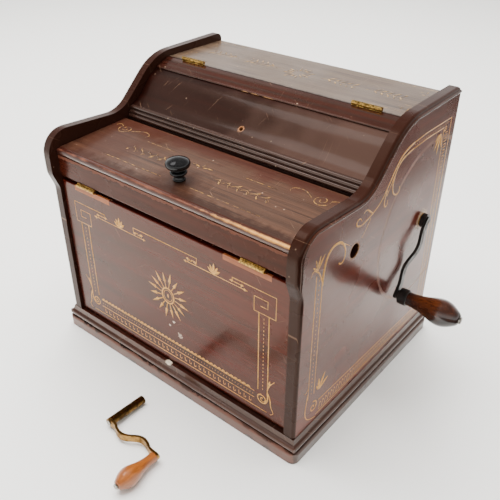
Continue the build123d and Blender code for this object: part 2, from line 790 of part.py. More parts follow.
# --------------------------------------------------------------------------
# Crankshaft, rods and crank
# --------------------------------------------------------------------------
def crankshaft():
    """The iron shaft with two opposite throws that work the feeders."""
    inner, outer = THROW_X - 12, THROW_X + 12
    web = 5.0
    y, z = CRANK_AXIS
    with BuildPart() as shaft:
        rod(CRANK_AXIS, (-HALF_INNER + 0.5, -outer), SHAFT_RADIUS)
        rod(CRANK_AXIS, (-inner, inner), SHAFT_RADIUS)
        rod(CRANK_AXIS, (outer, HALF_OUTER + 7), SHAFT_RADIUS)
        for side, lift in ((-1, INNER_THROW), (1, -INNER_THROW)):
            rod((y, z + lift), sorted((side * inner, side * outer)), PIN_RADIUS)
            for start in (inner, outer - web):
                x = sorted((side * start, side * (start + web)))
                with BuildSketch(along_x(y, z + lift / 2, x[0])):
                    SlotCenterToCenter(INNER_THROW, 15, rotation=90)
                extrude(amount=web)
    write(shaft, "crankshaft")


PIN_RADIUS = 3.5


def connecting_rod(name, side, lift):
    """A wooden rod from one throw down to a feeder."""
    y, top = CRANK_AXIS[0], CRANK_AXIS[1] + lift
    x = side * THROW_X - ROD_THICKNESS / 2
    with BuildPart() as link:
        with BuildSketch(along_x(y, top, x)):
            Circle(9)
            with Locations((0, -ROD_LENGTH)):
                Circle(7)
            with Locations((0, -ROD_LENGTH / 2)):
                Rectangle(10, ROD_LENGTH)
            Circle(PIN_RADIUS + RUNNING, mode=Mode.SUBTRACT)
            with Locations((0, -ROD_LENGTH)):
                Circle(3.2, mode=Mode.SUBTRACT)
        extrude(amount=ROD_THICKNESS)
    write(link, name)


ARM_X = 199.8
ARM_SWAY = 3.0
ARM_WIDTH = 9.0
ARM_THICKNESS = 3.6


def bent_arm(frame, length, sway, lead, width, thickness, straight):
    """A flat bar bent in a gentle S along the frame's x, offset along its z, with round ends.

    lead is how far the bar runs past each of its two centres, and straight is how far
    it stays flat beyond that before it bends.
    """
    with BuildPart() as bar:
        steps = 8
        flat = lead + straight
        bend = length - 2 * flat
        with BuildSketch(Plane(origin=frame.origin, x_dir=frame.x_dir, z_dir=-frame.y_dir)):
            with BuildLine():
                middle = [
                    (
                        flat + bend * k / steps,
                        1.3 * sway * sin(2 * pi * k / steps) * sin(pi * k / steps),
                    )
                    for k in range(steps + 1)
                ]
                upper = [(t, s + thickness / 2) for t, s in middle]
                lower = [(t, s - thickness / 2) for t, s in reversed(middle)]
                start = Line((-lead, -thickness / 2), (-lead, thickness / 2))
                Line(start @ 1, upper[0])
                Spline(*upper, tangents=((1, 0), (1, 0)))
                Polyline(
                    upper[-1],
                    (length + lead, thickness / 2),
                    (length + lead, -thickness / 2),
                    lower[0],
                )
                Spline(*lower, tangents=((-1, 0), (-1, 0)))
                Line(lower[-1], start @ 0)
            make_face()
        extrude(amount=width / 2, both=True)
        reach = 2 * abs(sway) + thickness
        with BuildSketch(frame.offset(-reach)):
            with Locations((length / 2, 0)):
                SlotCenterToCenter(length + 2 * lead - width, width)
        extrude(amount=2 * reach, mode=Mode.INTERSECT)
    return bar


def crank():
    """The iron crank: bent arm with its hub, grip pin, ferrule and turned grip."""
    radial = (0, cos(radians(CRANK_ANGLE)), sin(radians(CRANK_ANGLE)))
    frame = Plane(origin=(ARM_X, *CRANK_AXIS), x_dir=radial, z_dir=(1, 0, 0))
    lead = ARM_WIDTH / 2 + 1.5
    arm = bent_arm(frame, CRANK_THROW, ARM_SWAY, lead, ARM_WIDTH, ARM_THICKNESS, straight=3)
    back = ARM_X - ARM_THICKNESS / 2
    front = ARM_X + ARM_THICKNESS / 2
    pin_axis = (
        CRANK_AXIS[0] + CRANK_THROW * radial[1],
        CRANK_AXIS[1] + CRANK_THROW * radial[2],
    )
    with BuildPart() as bar:
        add(arm.part)
        rod(CRANK_AXIS, (HALF_OUTER + 1.5, ARM_X), 8.8)
        rod(CRANK_AXIS, (HALF_OUTER, HALF_OUTER + 7), SHAFT_RADIUS, mode=Mode.SUBTRACT)
        rod(pin_axis, (ARM_X - 6, ARM_X + 6), GRIP_PIN_RADIUS, mode=Mode.SUBTRACT)
    write(bar, "crank_arm")

    end = GRIP_START + GRIP_LENGTH
    with BuildPart() as pin:
        rod(pin_axis, (back, end + 0.4), GRIP_PIN_RADIUS)
        rod(pin_axis, (end + 0.4, end + 2.4), 4.5)
        fillet(pin.edges().sort_by(Axis.X)[-1], 1.6)
    write(pin, "grip_pin")

    with BuildPart() as ferrule:
        rod(pin_axis, (GRIP_START - 2, GRIP_START + 9), 10.2)
        fillet(ferrule.edges().filter_by(GeomType.CIRCLE), 1.0)
        rod(pin_axis, (front + 0.3, GRIP_START), 5.6)
        rod(pin_axis, (front - 1, GRIP_START + 10), GRIP_PIN_RADIUS + RUNNING, mode=Mode.SUBTRACT)
        rod(pin_axis, (GRIP_START, GRIP_START + 10), GRIP_NECK, mode=Mode.SUBTRACT)
    write(ferrule, "grip_ferrule")

    with BuildPart() as grip:
        base = Plane(origin=(GRIP_START, *pin_axis), x_dir=(1, 0, 0), z_dir=(0, -1, 0))
        turned_grip(base, GRIP_LENGTH, GRIP_NECK, 16.2)
        rod(pin_axis, (front, end + 1), GRIP_PIN_RADIUS + RUNNING, mode=Mode.SUBTRACT)
    write(grip, "crank_grip")


GRIP_NECK = 8.4


def turned_grip(plane, length, neck, bulge):
    """A pear-shaped turned grip along the plane's x, narrow at its origin."""
    with BuildSketch(plane) as half:
        with BuildLine():
            side = Spline(
                (0, neck),
                (0.14 * length, neck),
                (0.42 * length, neck + 0.4 * (bulge - neck)),
                (0.74 * length, bulge),
                (0.955 * length, 0.55 * bulge),
                (length, 0.3 * bulge),
                tangents=((1, 0), (0.35, -1)),
            )
            Polyline(side @ 1, (length, 0), (0, 0), (0, neck))
        make_face()
    revolve(half.sketch, axis=Axis(plane.origin, plane.x_dir))


# --------------------------------------------------------------------------
# Bellows
# --------------------------------------------------------------------------
def hinged_plane(hinge, angle):
    """A plane at a bellows hinge: x runs back along the board, z up from it."""
    turn = radians(angle)
    return Plane(
        origin=(0, *hinge),
        x_dir=(0, cos(turn), sin(turn)),
        z_dir=(0, -sin(turn), cos(turn)),
    )


def feeder_angle(lift):
    """How far a feeder hangs open, so that its bracket meets its rod."""
    foot = CRANK_AXIS[1] + lift - ROD_LENGTH
    return degrees(atan2(foot - FEEDER_HINGE[1], CRANK_AXIS[0] - FEEDER_HINGE[0]))


def bellows_board(name, frame, x, reach, below):
    """A hinged board of a bellows; below puts its thickness under the hinge plane."""
    centre = (1 + reach) / 2
    lift = -BELLOWS_BOARD / 2 if below else BELLOWS_BOARD / 2
    with BuildPart(frame) as board:
        with Locations((centre, -(x[0] + x[1]) / 2, lift)):
            Box(reach - 1, x[1] - x[0], BELLOWS_BOARD)
    write(board, name)


def bellows_cloth(name, x, face, hinge, angle, reach):
    """The folded leather skirt round a wedge, closed at the sides and the back."""
    slope = tan(radians(angle))
    gap = 0.3 if angle > 0 else -0.3

    def section(front, rear):
        Polyline(
            (front, face),
            (rear, face),
            (rear, hinge[1] + slope * (rear - hinge[0]) - gap),
            (front, hinge[1] + slope * (front - hinge[0]) - gap),
            close=True,
        )

    front, rear = hinge[0] + 14, hinge[0] + reach * cos(radians(angle)) - 4
    with BuildPart() as cloth:
        with BuildSketch(Plane.YZ.offset(x[0] + 3)):
            with BuildLine():
                section(front, rear)
            make_face()
        extrude(amount=x[1] - x[0] - 6)
        with BuildSketch(Plane.YZ.offset(x[0] + 3 + CLOTH)):
            with BuildLine():
                Polyline(
                    (front - 5, face + 60),
                    (rear - CLOTH, face + 60),
                    (rear - CLOTH, face - 80),
                    (front - 5, face - 80),
                    close=True,
                )
            make_face()
        extrude(amount=x[1] - x[0] - 6 - 2 * CLOTH, mode=Mode.SUBTRACT)
    write(cloth, name)


def feeder(side_name, side, lift):
    """One feeder: its board, its cloth, and the bracket that the rod works."""
    angle = feeder_angle(lift)
    frame = hinged_plane(FEEDER_HINGE, angle)
    x = sorted((side * FEEDER_INNER, side * FEEDER_OUTER))
    bellows_board(f"feeder_board_{side_name}", frame, x, FEEDER_REACH, below=True)
    bellows_cloth(
        f"feeder_cloth_{side_name}", x, MIDDLE_BOARD[0], FEEDER_HINGE, angle, FEEDER_REACH
    )
    foot = frame.to_local_coords(
        Vector(0, CRANK_AXIS[0], CRANK_AXIS[1] + lift - ROD_LENGTH)
    )
    near = side * (THROW_X - ROD_THICKNESS / 2)
    plate = sorted((near - side * 3.5, near - side * 6.5))
    under = Plane(origin=(plate[0], *FEEDER_HINGE), x_dir=frame.x_dir, z_dir=(1, 0, 0))
    with BuildPart() as bracket:
        with BuildSketch(under):
            with BuildLine():
                Polyline(
                    (FEEDER_REACH - 34, -BELLOWS_BOARD),
                    (FEEDER_REACH - 34, -BELLOWS_BOARD - 9),
                    (foot.X - 3, -BELLOWS_BOARD - 9),
                    (foot.X + 7, foot.Z),
                    (foot.X, foot.Z + 7),
                    (foot.X - 9, foot.Z + 5),
                    (FEEDER_REACH + 2.5, -BELLOWS_BOARD),
                    close=True,
                )
            make_face()
        extrude(amount=3)
        pivot = (CRANK_AXIS[0], CRANK_AXIS[1] + lift - ROD_LENGTH)
        rod(pivot, sorted((near - side * 4, near - side * 0.5)), 3.0)
    write(bracket, f"feeder_bracket_{side_name}")


def reservoir():
    """The reservoir over the middle board, with the spring that holds it open."""
    frame = hinged_plane(RESERVOIR_HINGE, RESERVOIR_ANGLE)
    bellows_board("reservoir_board", frame, RESERVOIR_X, RESERVOIR_REACH, below=False)
    bellows_cloth(
        "reservoir_cloth",
        RESERVOIR_X,
        MIDDLE_BOARD[1],
        RESERVOIR_HINGE,
        RESERVOIR_ANGLE,
        RESERVOIR_REACH,
    )
    floor = MIDDLE_BOARD[1]
    with BuildPart() as springs:
        for x in (-60.0, 100.0):
            with BuildSketch(Plane.YZ.offset(x)):
                with BuildLine():
                    Polyline(
                        (35, floor + 0.1),
                        (35, floor + 1.3),
                        (-38, floor + 6.5),
                        (32, floor + 22.0),
                        (32, floor + 23.2),
                        (-42, floor + 6.5),
                        close=True,
                    )
                make_face()
            extrude(amount=12)
    write(springs, "reservoir_springs")


def wind_system():
    """The middle board, its cleats, the wind trunk, the chest, tracker bar and reeds."""
    low, high = MIDDLE_BOARD
    trunk_x, trunk_y = (-168.0, -132.0), (0.0, 40.0)
    wall = 5.0
    with BuildPart() as middle:
        slab((-HALF_INNER, HALF_INNER), (MIDDLE_FRONT, MIDDLE_REAR), (low, high))
        cut_slab(
            (trunk_x[0] + wall, trunk_x[1] - wall),
            (trunk_y[0] + wall, trunk_y[1] - wall),
            (low - 1, high + 1),
        )
        for side in (-1, 1):
            for k in range(4):
                place = (side * (40 + 25 * k), -40, (low + high) / 2)
                with Locations(place):
                    Cylinder(6, high - low + 2, mode=Mode.SUBTRACT)
    write(middle, "middle_board")

    with BuildPart() as trunk:
        slab(trunk_x, trunk_y, (high, CHEST_Z[0]))
        cut_slab(
            (trunk_x[0] + wall, trunk_x[1] - wall),
            (trunk_y[0] + wall, trunk_y[1] - wall),
            (high - 1, CHEST_Z[0] + 1),
        )
    write(trunk, "wind_trunk")

    chest_x = (-HALF_INNER, CHEST_RIGHT)
    with BuildPart() as chest:
        slab(chest_x, CHEST_Y, CHEST_Z)
        cut_slab(
            (chest_x[0] + CHEST_WALL, chest_x[1] - CHEST_WALL),
            (CHEST_Y[0] + CHEST_WALL, CHEST_Y[1] - CHEST_WALL),
            (CHEST_Z[0] + CHEST_WALL, CHEST_Z[1] + 1),
        )
        cut_slab(
            (trunk_x[0] + wall, trunk_x[1] - wall),
            (trunk_y[0] + wall, trunk_y[1] - wall),
            (CHEST_Z[0] - 1, CHEST_Z[0] + CHEST_WALL + 1),
        )
    write(chest, "wind_chest")

    first = -NOTE_PITCH * (NOTES - 1) / 2 - 10
    places = [(first + NOTE_PITCH * k) for k in range(NOTES)]
    tracker_z = (CHEST_Z[1], CHEST_Z[1] + 9.0)
    with BuildPart() as tracker:
        slab(chest_x, CHEST_Y, tracker_z)
        with BuildSketch(Plane.XY.offset(tracker_z[0] - 1)):
            with Locations([(x, 20.0) for x in places]):
                Rectangle(6.0, 14.0)
        extrude(amount=12, mode=Mode.SUBTRACT)
        top_edges = tracker.edges().filter_by(Axis.X).group_by(Axis.Z)[-1]
        outer_edges = [e for e in top_edges if e.length > 100]
        fillet(outer_edges, 3)
    write(tracker, "tracker_bar")

    reed_z = (CHEST_Z[1] - 3.0, CHEST_Z[1])
    with BuildPart() as reeds:
        for x in places:
            slab((x - 4.6, x + 4.6), (2.0, 38.0), reed_z)
            cut_slab((x - 1.8, x + 1.8), (12.0, 34.0), (reed_z[0] - 1, reed_z[1] + 1))
            slab((x - 1.4, x + 1.4), (11.0, 32.0), (reed_z[0] + 1.2, reed_z[0] + 1.7))
    write(reeds, "reeds")


# --------------------------------------------------------------------------
# Rewind crank, lying flat on the table in front of the case
# --------------------------------------------------------------------------
def rewind_crank():
    """The small brass crank for rewinding: sleeve, bent arm, pin and grip."""
    tilt = radians(REWIND_TILT)
    along = Vector(0, cos(tilt), -sin(tilt))
    up = Vector(0, sin(tilt), cos(tilt))
    centre = Vector(REWIND_SLEEVE_X, *REWIND_PIVOT) + along * (REWIND_ARM_Y - REWIND_PIVOT[0])
    frame = Plane(origin=centre, x_dir=(1, 0, 0), z_dir=along)
    lead, width, thickness, sway = 5.5, 9.0, 3.4, -6.0
    rivet = 2.2

    arm = bent_arm(frame, REWIND_THROW, sway, lead, width, thickness, straight=-1)
    with BuildPart() as bar:
        add(arm.part)
        with BuildSketch(frame.offset(-10)):
            Circle(rivet)
            with Locations((REWIND_THROW, 0)):
                Circle(2.0)
        extrude(amount=20, mode=Mode.SUBTRACT)
    write(bar, "rewind_arm")

    with BuildPart() as sleeve:
        with BuildSketch(frame.offset(thickness / 2)):
            Circle(5.3)
        extrude(amount=REWIND_SLEEVE_LENGTH)
        fillet(sleeve.edges().sort_by(Axis.Y)[-1], 0.8)
        with BuildSketch(frame.offset(thickness / 2)):
            Circle(rivet)
        extrude(amount=8, mode=Mode.SUBTRACT)
        with BuildSketch(frame.offset(thickness / 2 + REWIND_SLEEVE_LENGTH - 20)):
            Rectangle(SQUARE + 0.4, SQUARE + 0.4)
        extrude(amount=21, mode=Mode.SUBTRACT)
    write(sleeve, "rewind_sleeve")

    far = frame.origin + Vector(REWIND_THROW, 0, 0)
    grip_frame = Plane(origin=far - along * (thickness / 2 + 0.4), x_dir=-along, z_dir=up)
    length = REWIND_GRIP_LENGTH
    pin_plane = Plane(origin=far + along * (thickness / 2), x_dir=(1, 0, 0), z_dir=-along)
    with BuildPart() as grip:
        turned_grip(grip_frame, length, 5.8, 11.2)
        with BuildSketch(pin_plane):
            Circle(2.0 + RUNNING)
        extrude(amount=length + 20, mode=Mode.SUBTRACT)
    write(grip, "rewind_grip")

    with BuildPart() as pin:
        with BuildSketch(pin_plane):
            Circle(2.0)
        extrude(amount=thickness + length + 0.8)
        with BuildSketch(pin_plane.offset(thickness + length + 0.8)):
            Circle(3.4)
        extrude(amount=1.8)
        fillet(pin.edges().sort_by(Axis.Y)[0], 1.3)
        with BuildSketch(frame.offset(-thickness / 2)):
            Circle(rivet)
        extrude(amount=thickness + 8)
        with BuildSketch(frame.offset(-thickness / 2 - 1.1)):
            Circle(3.2)
        extrude(amount=1.1)
    write(pin, "rewind_rivets")


def main():
    """Builds every piece and writes it to parts/."""
    os.makedirs("parts", exist_ok=True)
    for name, side in (("left", -1), ("right", 1)):
        side_panel(f"side_panel_{name}", side)
    side_beads()
    plinth()
    case_boards()
    battens()
    hinges()
    door()
    lid()
    flap()
    bearings()
    gears()
    spools()
    crankshaft()
    connecting_rod("connecting_rod_left", -1, INNER_THROW)
    connecting_rod("connecting_rod_right", 1, -INNER_THROW)
    crank()
    feeder("left", -1, INNER_THROW)
    feeder("right", 1, -INNER_THROW)
    reservoir()
    wind_system()
    rewind_crank()


main()
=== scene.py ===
"""Looks of a hand-cranked paper-roll organette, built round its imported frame."""

from __future__ import annotations

import json
import logging
import math
from dataclasses import dataclass, field
from enum import Enum
from typing import Any, Sequence

import bmesh
import bpy
from mathutils import Matrix, Vector

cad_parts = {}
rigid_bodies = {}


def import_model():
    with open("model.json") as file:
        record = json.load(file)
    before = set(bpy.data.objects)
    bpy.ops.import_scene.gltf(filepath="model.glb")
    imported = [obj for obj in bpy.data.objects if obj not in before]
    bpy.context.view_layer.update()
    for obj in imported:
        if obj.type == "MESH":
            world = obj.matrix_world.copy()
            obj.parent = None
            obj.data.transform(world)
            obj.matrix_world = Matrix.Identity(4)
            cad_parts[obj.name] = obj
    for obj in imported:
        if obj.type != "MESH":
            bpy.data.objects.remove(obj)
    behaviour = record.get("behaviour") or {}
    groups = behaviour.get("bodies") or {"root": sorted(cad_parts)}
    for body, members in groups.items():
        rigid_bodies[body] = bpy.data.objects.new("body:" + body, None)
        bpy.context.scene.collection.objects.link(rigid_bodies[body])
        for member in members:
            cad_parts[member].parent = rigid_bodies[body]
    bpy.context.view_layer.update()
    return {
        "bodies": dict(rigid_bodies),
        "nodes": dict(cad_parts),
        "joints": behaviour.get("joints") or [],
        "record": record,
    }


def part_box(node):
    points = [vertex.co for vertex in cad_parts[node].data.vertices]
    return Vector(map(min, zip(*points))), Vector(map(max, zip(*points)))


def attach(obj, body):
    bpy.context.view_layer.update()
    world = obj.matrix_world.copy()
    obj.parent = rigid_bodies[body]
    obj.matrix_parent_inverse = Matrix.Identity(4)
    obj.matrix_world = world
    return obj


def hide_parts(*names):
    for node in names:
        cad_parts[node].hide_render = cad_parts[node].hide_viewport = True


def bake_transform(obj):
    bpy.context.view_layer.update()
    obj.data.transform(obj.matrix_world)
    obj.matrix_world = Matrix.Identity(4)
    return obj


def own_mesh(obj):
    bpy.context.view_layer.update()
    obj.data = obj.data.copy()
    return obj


LOG = logging.getLogger("organette")
MM = 0.001
Point = tuple[float, float]
Place = tuple[float, float, float]
Tree = bpy.types.NodeTree
Socket = bpy.types.NodeSocket


class Facing(Enum):
    """The axis that a flat piece of wood faces, which its scratches lie square to."""

    X = 0
    Y = 1
    Z = 2


# --- Materials ---
def colour(code: str) -> tuple[float, float, float, float]:
    """Turns an sRGB hex colour into the linear one that shaders take.

    Args:
        code: A colour such as "#7a4b2c".

    Returns:
        Linear red, green and blue, with an alpha of 1.
    """
    parts = [int(code[i : i + 2], 16) / 255 for i in (1, 3, 5)]
    linear = [p / 12.92 if p <= 0.04045 else ((p + 0.055) / 1.055) ** 2.4 for p in parts]
    return (linear[0], linear[1], linear[2], 1.0)


def add_node(
    tree: Tree, kind: str, links: dict[Any, Any] | None = None, **settings: Any
) -> bpy.types.Node:
    """Adds a shader node to a tree, with its settings and what goes into its sockets.

    Args:
        tree: The node tree.
        kind: The node's type without its "ShaderNode", such as "Math".
        links: Socket names or numbers, each with a value, an output, or a node that
            stands for its first output.
        settings: Attributes of the node. A ramp's stops are pairs of place and colour.

    Returns:
        The new node.
    """
    node = tree.nodes.new("ShaderNode" + kind)
    stops = settings.pop("stops", ())
    for index, (position, code) in enumerate(stops):
        node.color_ramp.elements[index].position = position
        node.color_ramp.elements[index].color = colour(code)
    for name, value in settings.items():
        setattr(node, name, value)
    for socket, source in (links or {}).items():
        if isinstance(source, bpy.types.Node):
            source = source.outputs[0]
        if isinstance(source, Socket):
            tree.links.new(source, node.inputs[socket])
        else:
            node.inputs[socket].default_value = source
    return node


def grain(
    tree: Tree,
    place: Socket,
    along: Facing,
    across: float,
    run: float,
    detail: float = 3.0,
    rough: float = 0.5,
) -> bpy.types.Node:
    """Adds noise that is drawn out along the grain of a wood.

    Args:
        tree: The material's node tree.
        place: The Object coordinates.
        along: The axis of the grain.
        across: How many features there are to a metre across the grain.
        run: How many there are along it.
        detail: The noise's octaves.
        rough: How strong the small octaves are.

    Returns:
        The noise node.
    """
    scale = [across] * 3
    scale[along.value] = run
    drawn = add_node(tree, "Mapping", {"Vector": place, "Scale": scale})
    return add_node(
        tree, "TexNoise", {"Vector": drawn, "Scale": 1.0, "Detail": detail, "Roughness": rough}
    )


@dataclass(frozen=True)
class Finish:
    """A finish, named for what the real surface is and how it was made."""

    name: str

    def build(self) -> bpy.types.Material:
        """Makes the material and returns it."""
        material = bpy.data.materials.new(self.name)
        material.use_nodes = True
        tree = material.node_tree
        tree.nodes.clear()
        place = add_node(tree, "TexCoord").outputs["Object"]
        shader = add_node(tree, "BsdfPrincipled", self.shade(tree, place))
        add_node(tree, "OutputMaterial", {"Surface": shader})
        return material

    def shade(self, tree: Tree, place: Socket) -> dict[str, Any]:
        """Builds the finish's nodes and returns what goes into its Principled shader.

        Args:
            tree: The material's node tree.
            place: The Object coordinates.
        """
        raise NotImplementedError


@dataclass(frozen=True)
class WearAndReflectionPatch:
    """A patch of wear, and in a few places a painted reflection: an ellipsoid whose reach is 0
    along an axis that doesn't bound it.
    """

    centre: Place
    reach: Place
    code: str
    ragged: float = 0.5
    grit: float = 400.0
    amount: float = 1.0
    soft: float = 0.25

    def mask(self, tree: Tree, place: Socket) -> Socket:
        """Returns a socket that is 1 inside the patch and 0 outside.

        Args:
            tree: The material's node tree.
            place: The Object coordinates.
        """
        scale = [1 / (r * MM) if r else 0.0 for r in self.reach]
        shift = [-c * MM * s for c, s in zip(self.centre, scale)]
        moved = add_node(tree, "Mapping", {"Vector": place, "Location": shift, "Scale": scale})
        far = add_node(tree, "VectorMath", {0: moved}, operation="LENGTH")
        grain = add_node(tree, "TexNoise", {"Vector": place, "Scale": self.grit, "Detail": 4.0})
        rough = add_node(
            tree, "MapRange", {0: grain, 1: 0.3, 2: 0.7, 3: -self.ragged, 4: self.ragged}
        )
        edge = add_node(tree, "Math", {0: far.outputs["Value"], 1: rough}, operation="ADD")
        cut = add_node(
            tree, "MapRange",
            {0: edge, 1: 1.0 + self.soft / 2, 2: 1.0 - self.soft / 2, 4: self.amount},
        )
        return cut.outputs[0]


@dataclass(frozen=True)
class RubbedRing:
    """The pale ring that the end of the crank's arm has rubbed into the side."""

    centre: Point
    radius: float
    width: float
    code: str

    def mask(self, tree: Tree, place: Socket) -> Socket:
        """Returns a socket that is near 1 on the ring and 0 elsewhere.

        Args:
            tree: The material's node tree.
            place: The Object coordinates.
        """
        moved = add_node(
            tree, "Mapping",
            {
                "Vector": place, "Location": (0, -self.centre[0] * MM, -self.centre[1] * MM),
                "Scale": (0, 1, 1),
            },
        )
        far = add_node(tree, "VectorMath", {0: moved}, operation="LENGTH")
        off = add_node(
            tree, "Math", {0: far.outputs["Value"], 1: self.radius * MM}, operation="SUBTRACT"
        )
        size = add_node(tree, "Math", {0: off}, operation="ABSOLUTE")
        ring = add_node(
            tree, "MapRange",
            {0: size, 1: self.width * MM, 2: self.width * 0.3 * MM, 3: 0.0, 4: 1.0},
        )
        patch = add_node(tree, "TexNoise", {"Vector": place, "Scale": 45.0, "Detail": 5.0})
        kept = add_node(tree, "MapRange", {0: patch, 1: 0.36, 2: 0.6, 3: 0.15, 4: 0.85})
        both = add_node(tree, "Math", {0: ring, 1: kept}, operation="MULTIPLY")
        return both.outputs[0]


@dataclass(frozen=True)
class VarnishedMahogany(Finish):
    """Stained mahogany under old shellac.

    The stain gives a deep red-brown with near-black pores, and the shellac over it a
    soft clear gloss, dulled and scratched by a century of handling.
    """

    dark: str = "#290e09"
    light: str = "#541f13"
    along: Facing = Facing.X
    facing: Facing = Facing.Y
    pore_mm: float = 1.3  # real pores are 0.2 mm, drawn coarser so that they show
    figure_mm: float = 14.0  # the broad light and dark stripes
    pore_show: float = 0.35
    run_mm: float = 60.0
    gloss: float = 0.2
    haze: float = 0.16
    coat: float = 0.7
    coat_rough: float = 0.1
    scratch: float = 0.5
    scratch_code: str = "#a98468"
    specks: float = 0.5
    bump: float = 0.12
    specular: float = 0.5
    amber: str = "#ffd0b0"  # old shellac warms what it mirrors
    rim_code: str = ""  # the duller edge that starts rim_from mm out from the middle
    rim_from: float = 0.0
    rim_shine: float = 0.38
    # Patches of wear; on the flap and the plinth these also hold painted reflections.
    wear_and_reflection_patches: tuple[WearAndReflectionPatch | RubbedRing, ...] = ()

    def _scratches(self, tree: Tree, place: Socket) -> Socket:
        """Returns a mask of short fine scratches that lie in the faces of the wood."""
        total: Socket | None = None
        for turn, cut, size in ((0.6, 0.705, 900.0), (-0.95, 0.715, 700.0), (1.45, 0.725, 1100.0)):
            angles = [0.0, 0.0, 0.0]
            angles[self.facing.value] = turn
            turned = add_node(tree, "Mapping", {"Vector": place, "Rotation": angles})
            scale = [size, size, size]
            scale[self.facing.value] = 0.0
            scale[(self.facing.value + 1) % 3] = 22.0
            drawn = add_node(tree, "Mapping", {"Vector": turned, "Scale": scale})
            noise = add_node(
                tree, "TexNoise", {"Vector": drawn, "Scale": 1.0, "Detail": 2.0, "Roughness": 0.4}
            )
            line = add_node(tree, "MapRange", {0: noise, 1: cut, 2: cut + 0.05, 4: 1.0})
            if total is None:
                total = line.outputs[0]
            else:
                total = add_node(tree, "Math", {0: total, 1: line}, operation="MAXIMUM").outputs[0]
        return total

    def shade(self, tree: Tree, place: Socket) -> dict[str, Any]:
        """Builds the stain, the pores, the shellac, its scratches, its worn places and its painted
        reflections.
        """
        run = 1000 / self.run_mm
        fine = grain(tree, place, self.along, 1000 / self.pore_mm, run, 4.0, 0.6)
        broad = grain(tree, place, self.along, 1000 / self.figure_mm, run / 5, 5.0, 0.6)
        figure = add_node(tree, "MapRange", {0: broad, 1: 0.3, 2: 0.7, 4: 1.0})
        base = add_node(
            tree, "Mix", {0: figure, 6: colour(self.dark), 7: colour(self.light)}, data_type="RGBA"
        ).outputs[2]
        pore = add_node(tree, "MapRange", {0: fine, 1: 0.52, 2: 0.68, 4: self.pore_show})
        base = add_node(
            tree, "Mix", {0: pore, 6: base, 7: colour("#120806")}, data_type="RGBA"
        ).outputs[2]
        cloud = add_node(tree, "TexNoise", {"Vector": place, "Scale": 11.0, "Detail": 6.0})
        shine: list[Any] = [self.specular, self.coat]
        if self.rim_code:
            axes = add_node(tree, "SeparateXYZ", {0: place})
            reach = add_node(tree, "Math", {0: axes}, operation="ABSOLUTE")
            inner = self.rim_from * MM
            rim = add_node(tree, "MapRange", {0: reach, 1: inner, 2: inner - 0.0001, 4: 1.0})
            base = add_node(
                tree, "Mix", {0: rim, 6: base, 7: colour(self.rim_code)}, data_type="RGBA"
            ).outputs[2]
            shine = [
                add_node(
                    tree, "MapRange", {0: rim, 3: level, 4: level * self.rim_shine}
                ).outputs[0]
                for level in (self.specular, self.coat)
            ]
        marks = self._scratches(tree, place)
        thin = add_node(tree, "MapRange", {0: cloud, 1: 0.42, 2: 0.62, 4: self.scratch})
        seen = add_node(tree, "Math", {0: marks, 1: thin}, operation="MULTIPLY")
        base = add_node(
            tree, "Mix", {0: seen, 6: base, 7: colour(self.scratch_code)}, data_type="RGBA"
        ).outputs[2]
        cells = add_node(tree, "TexVoronoi", {"Vector": place, "Scale": 70.0})
        speck = add_node(
            tree, "MapRange", {0: cells.outputs["Distance"], 1: 0.075, 2: 0.045, 4: self.specks}
        )
        pick = add_node(tree, "MapRange", {0: cells.outputs["Color"], 1: 0.62, 2: 0.66, 4: 1.0})
        rare = add_node(tree, "Math", {0: speck, 1: pick}, operation="MULTIPLY")
        base = add_node(
            tree, "Mix", {0: rare, 6: base, 7: colour("#b79a80")}, data_type="RGBA"
        ).outputs[2]
        rough_base = add_node(
            tree, "MapRange", {0: cloud, 1: 0.35, 2: 0.7, 3: self.gloss, 4: self.gloss + self.haze}
        )
        rough = rough_base.outputs[0]
        # Worn patches and painted reflections are mixed into the colour alike, and roughen it.
        for wear_and_reflection_patch in self.wear_and_reflection_patches:
            mask = wear_and_reflection_patch.mask(tree, place)
            base = add_node(
                tree, "Mix", {0: mask, 6: base, 7: colour(wear_and_reflection_patch.code)}, data_type="RGBA"
            ).outputs[2]
            lift = add_node(tree, "Math", {0: mask, 1: 0.3, 2: rough}, operation="MULTIPLY_ADD")
            rough = lift.outputs[0]
        height = add_node(tree, "Math", {0: fine, 1: -1.0, 2: 1.0}, operation="MULTIPLY_ADD")
        wavy = add_node(tree, "Math", {0: cloud, 1: 1.6, 2: height}, operation="MULTIPLY_ADD")
        scored = add_node(tree, "Math", {0: marks, 1: -0.5, 2: wavy}, operation="MULTIPLY_ADD")
        bump = add_node(tree, "Bump", {"Strength": self.bump, "Distance": 0.0006, "Height": scored})
        return {
            "Base Color": base, "Roughness": rough, "IOR": 1.5, "Specular IOR Level": shine[0],
            "Specular Tint": colour(self.amber), "Normal": bump, "Coat Weight": shine[1],
            "Coat Roughness": self.coat_rough, "Coat IOR": 1.5,
        }


@dataclass(frozen=True)
class Gilding(Finish):
    """Bronze-powder stencil under shellac: a flat dull gold, rubbed off in places."""

    gold: str = "#e8ae55"
    ground: str = "#3a1b12"
    faded: float = 0.3
    patch_mm: float = 9.0

    def shade(self, tree: Tree, place: Socket) -> dict[str, Any]:
        """Builds the gold and lets the wood through where it is rubbed."""
        patch = add_node(
            tree, "TexNoise",
            {"Vector": place, "Scale": 1000 / self.patch_mm, "Detail": 6.0, "Roughness": 0.7},
        )
        edge = 0.28 + 0.4 * self.faded
        lost = add_node(tree, "MapRange", {0: patch, 1: edge + 0.1, 2: edge - 0.06, 4: 1.0})
        tone = add_node(tree, "TexNoise", {"Vector": place, "Scale": 600.0})
        ramp = add_node(tree, "ValToRGB", {0: tone}, stops=((0.3, "#bd8333"), (0.65, self.gold)))
        mix = add_node(tree, "Mix", {0: lost, 6: ramp, 7: colour(self.ground)}, data_type="RGBA")
        return {
            "Base Color": mix.outputs[2], "Roughness": 0.45, "Metallic": 0.15, "Coat Weight": 0.25,
            "Coat Roughness": 0.2,
        }


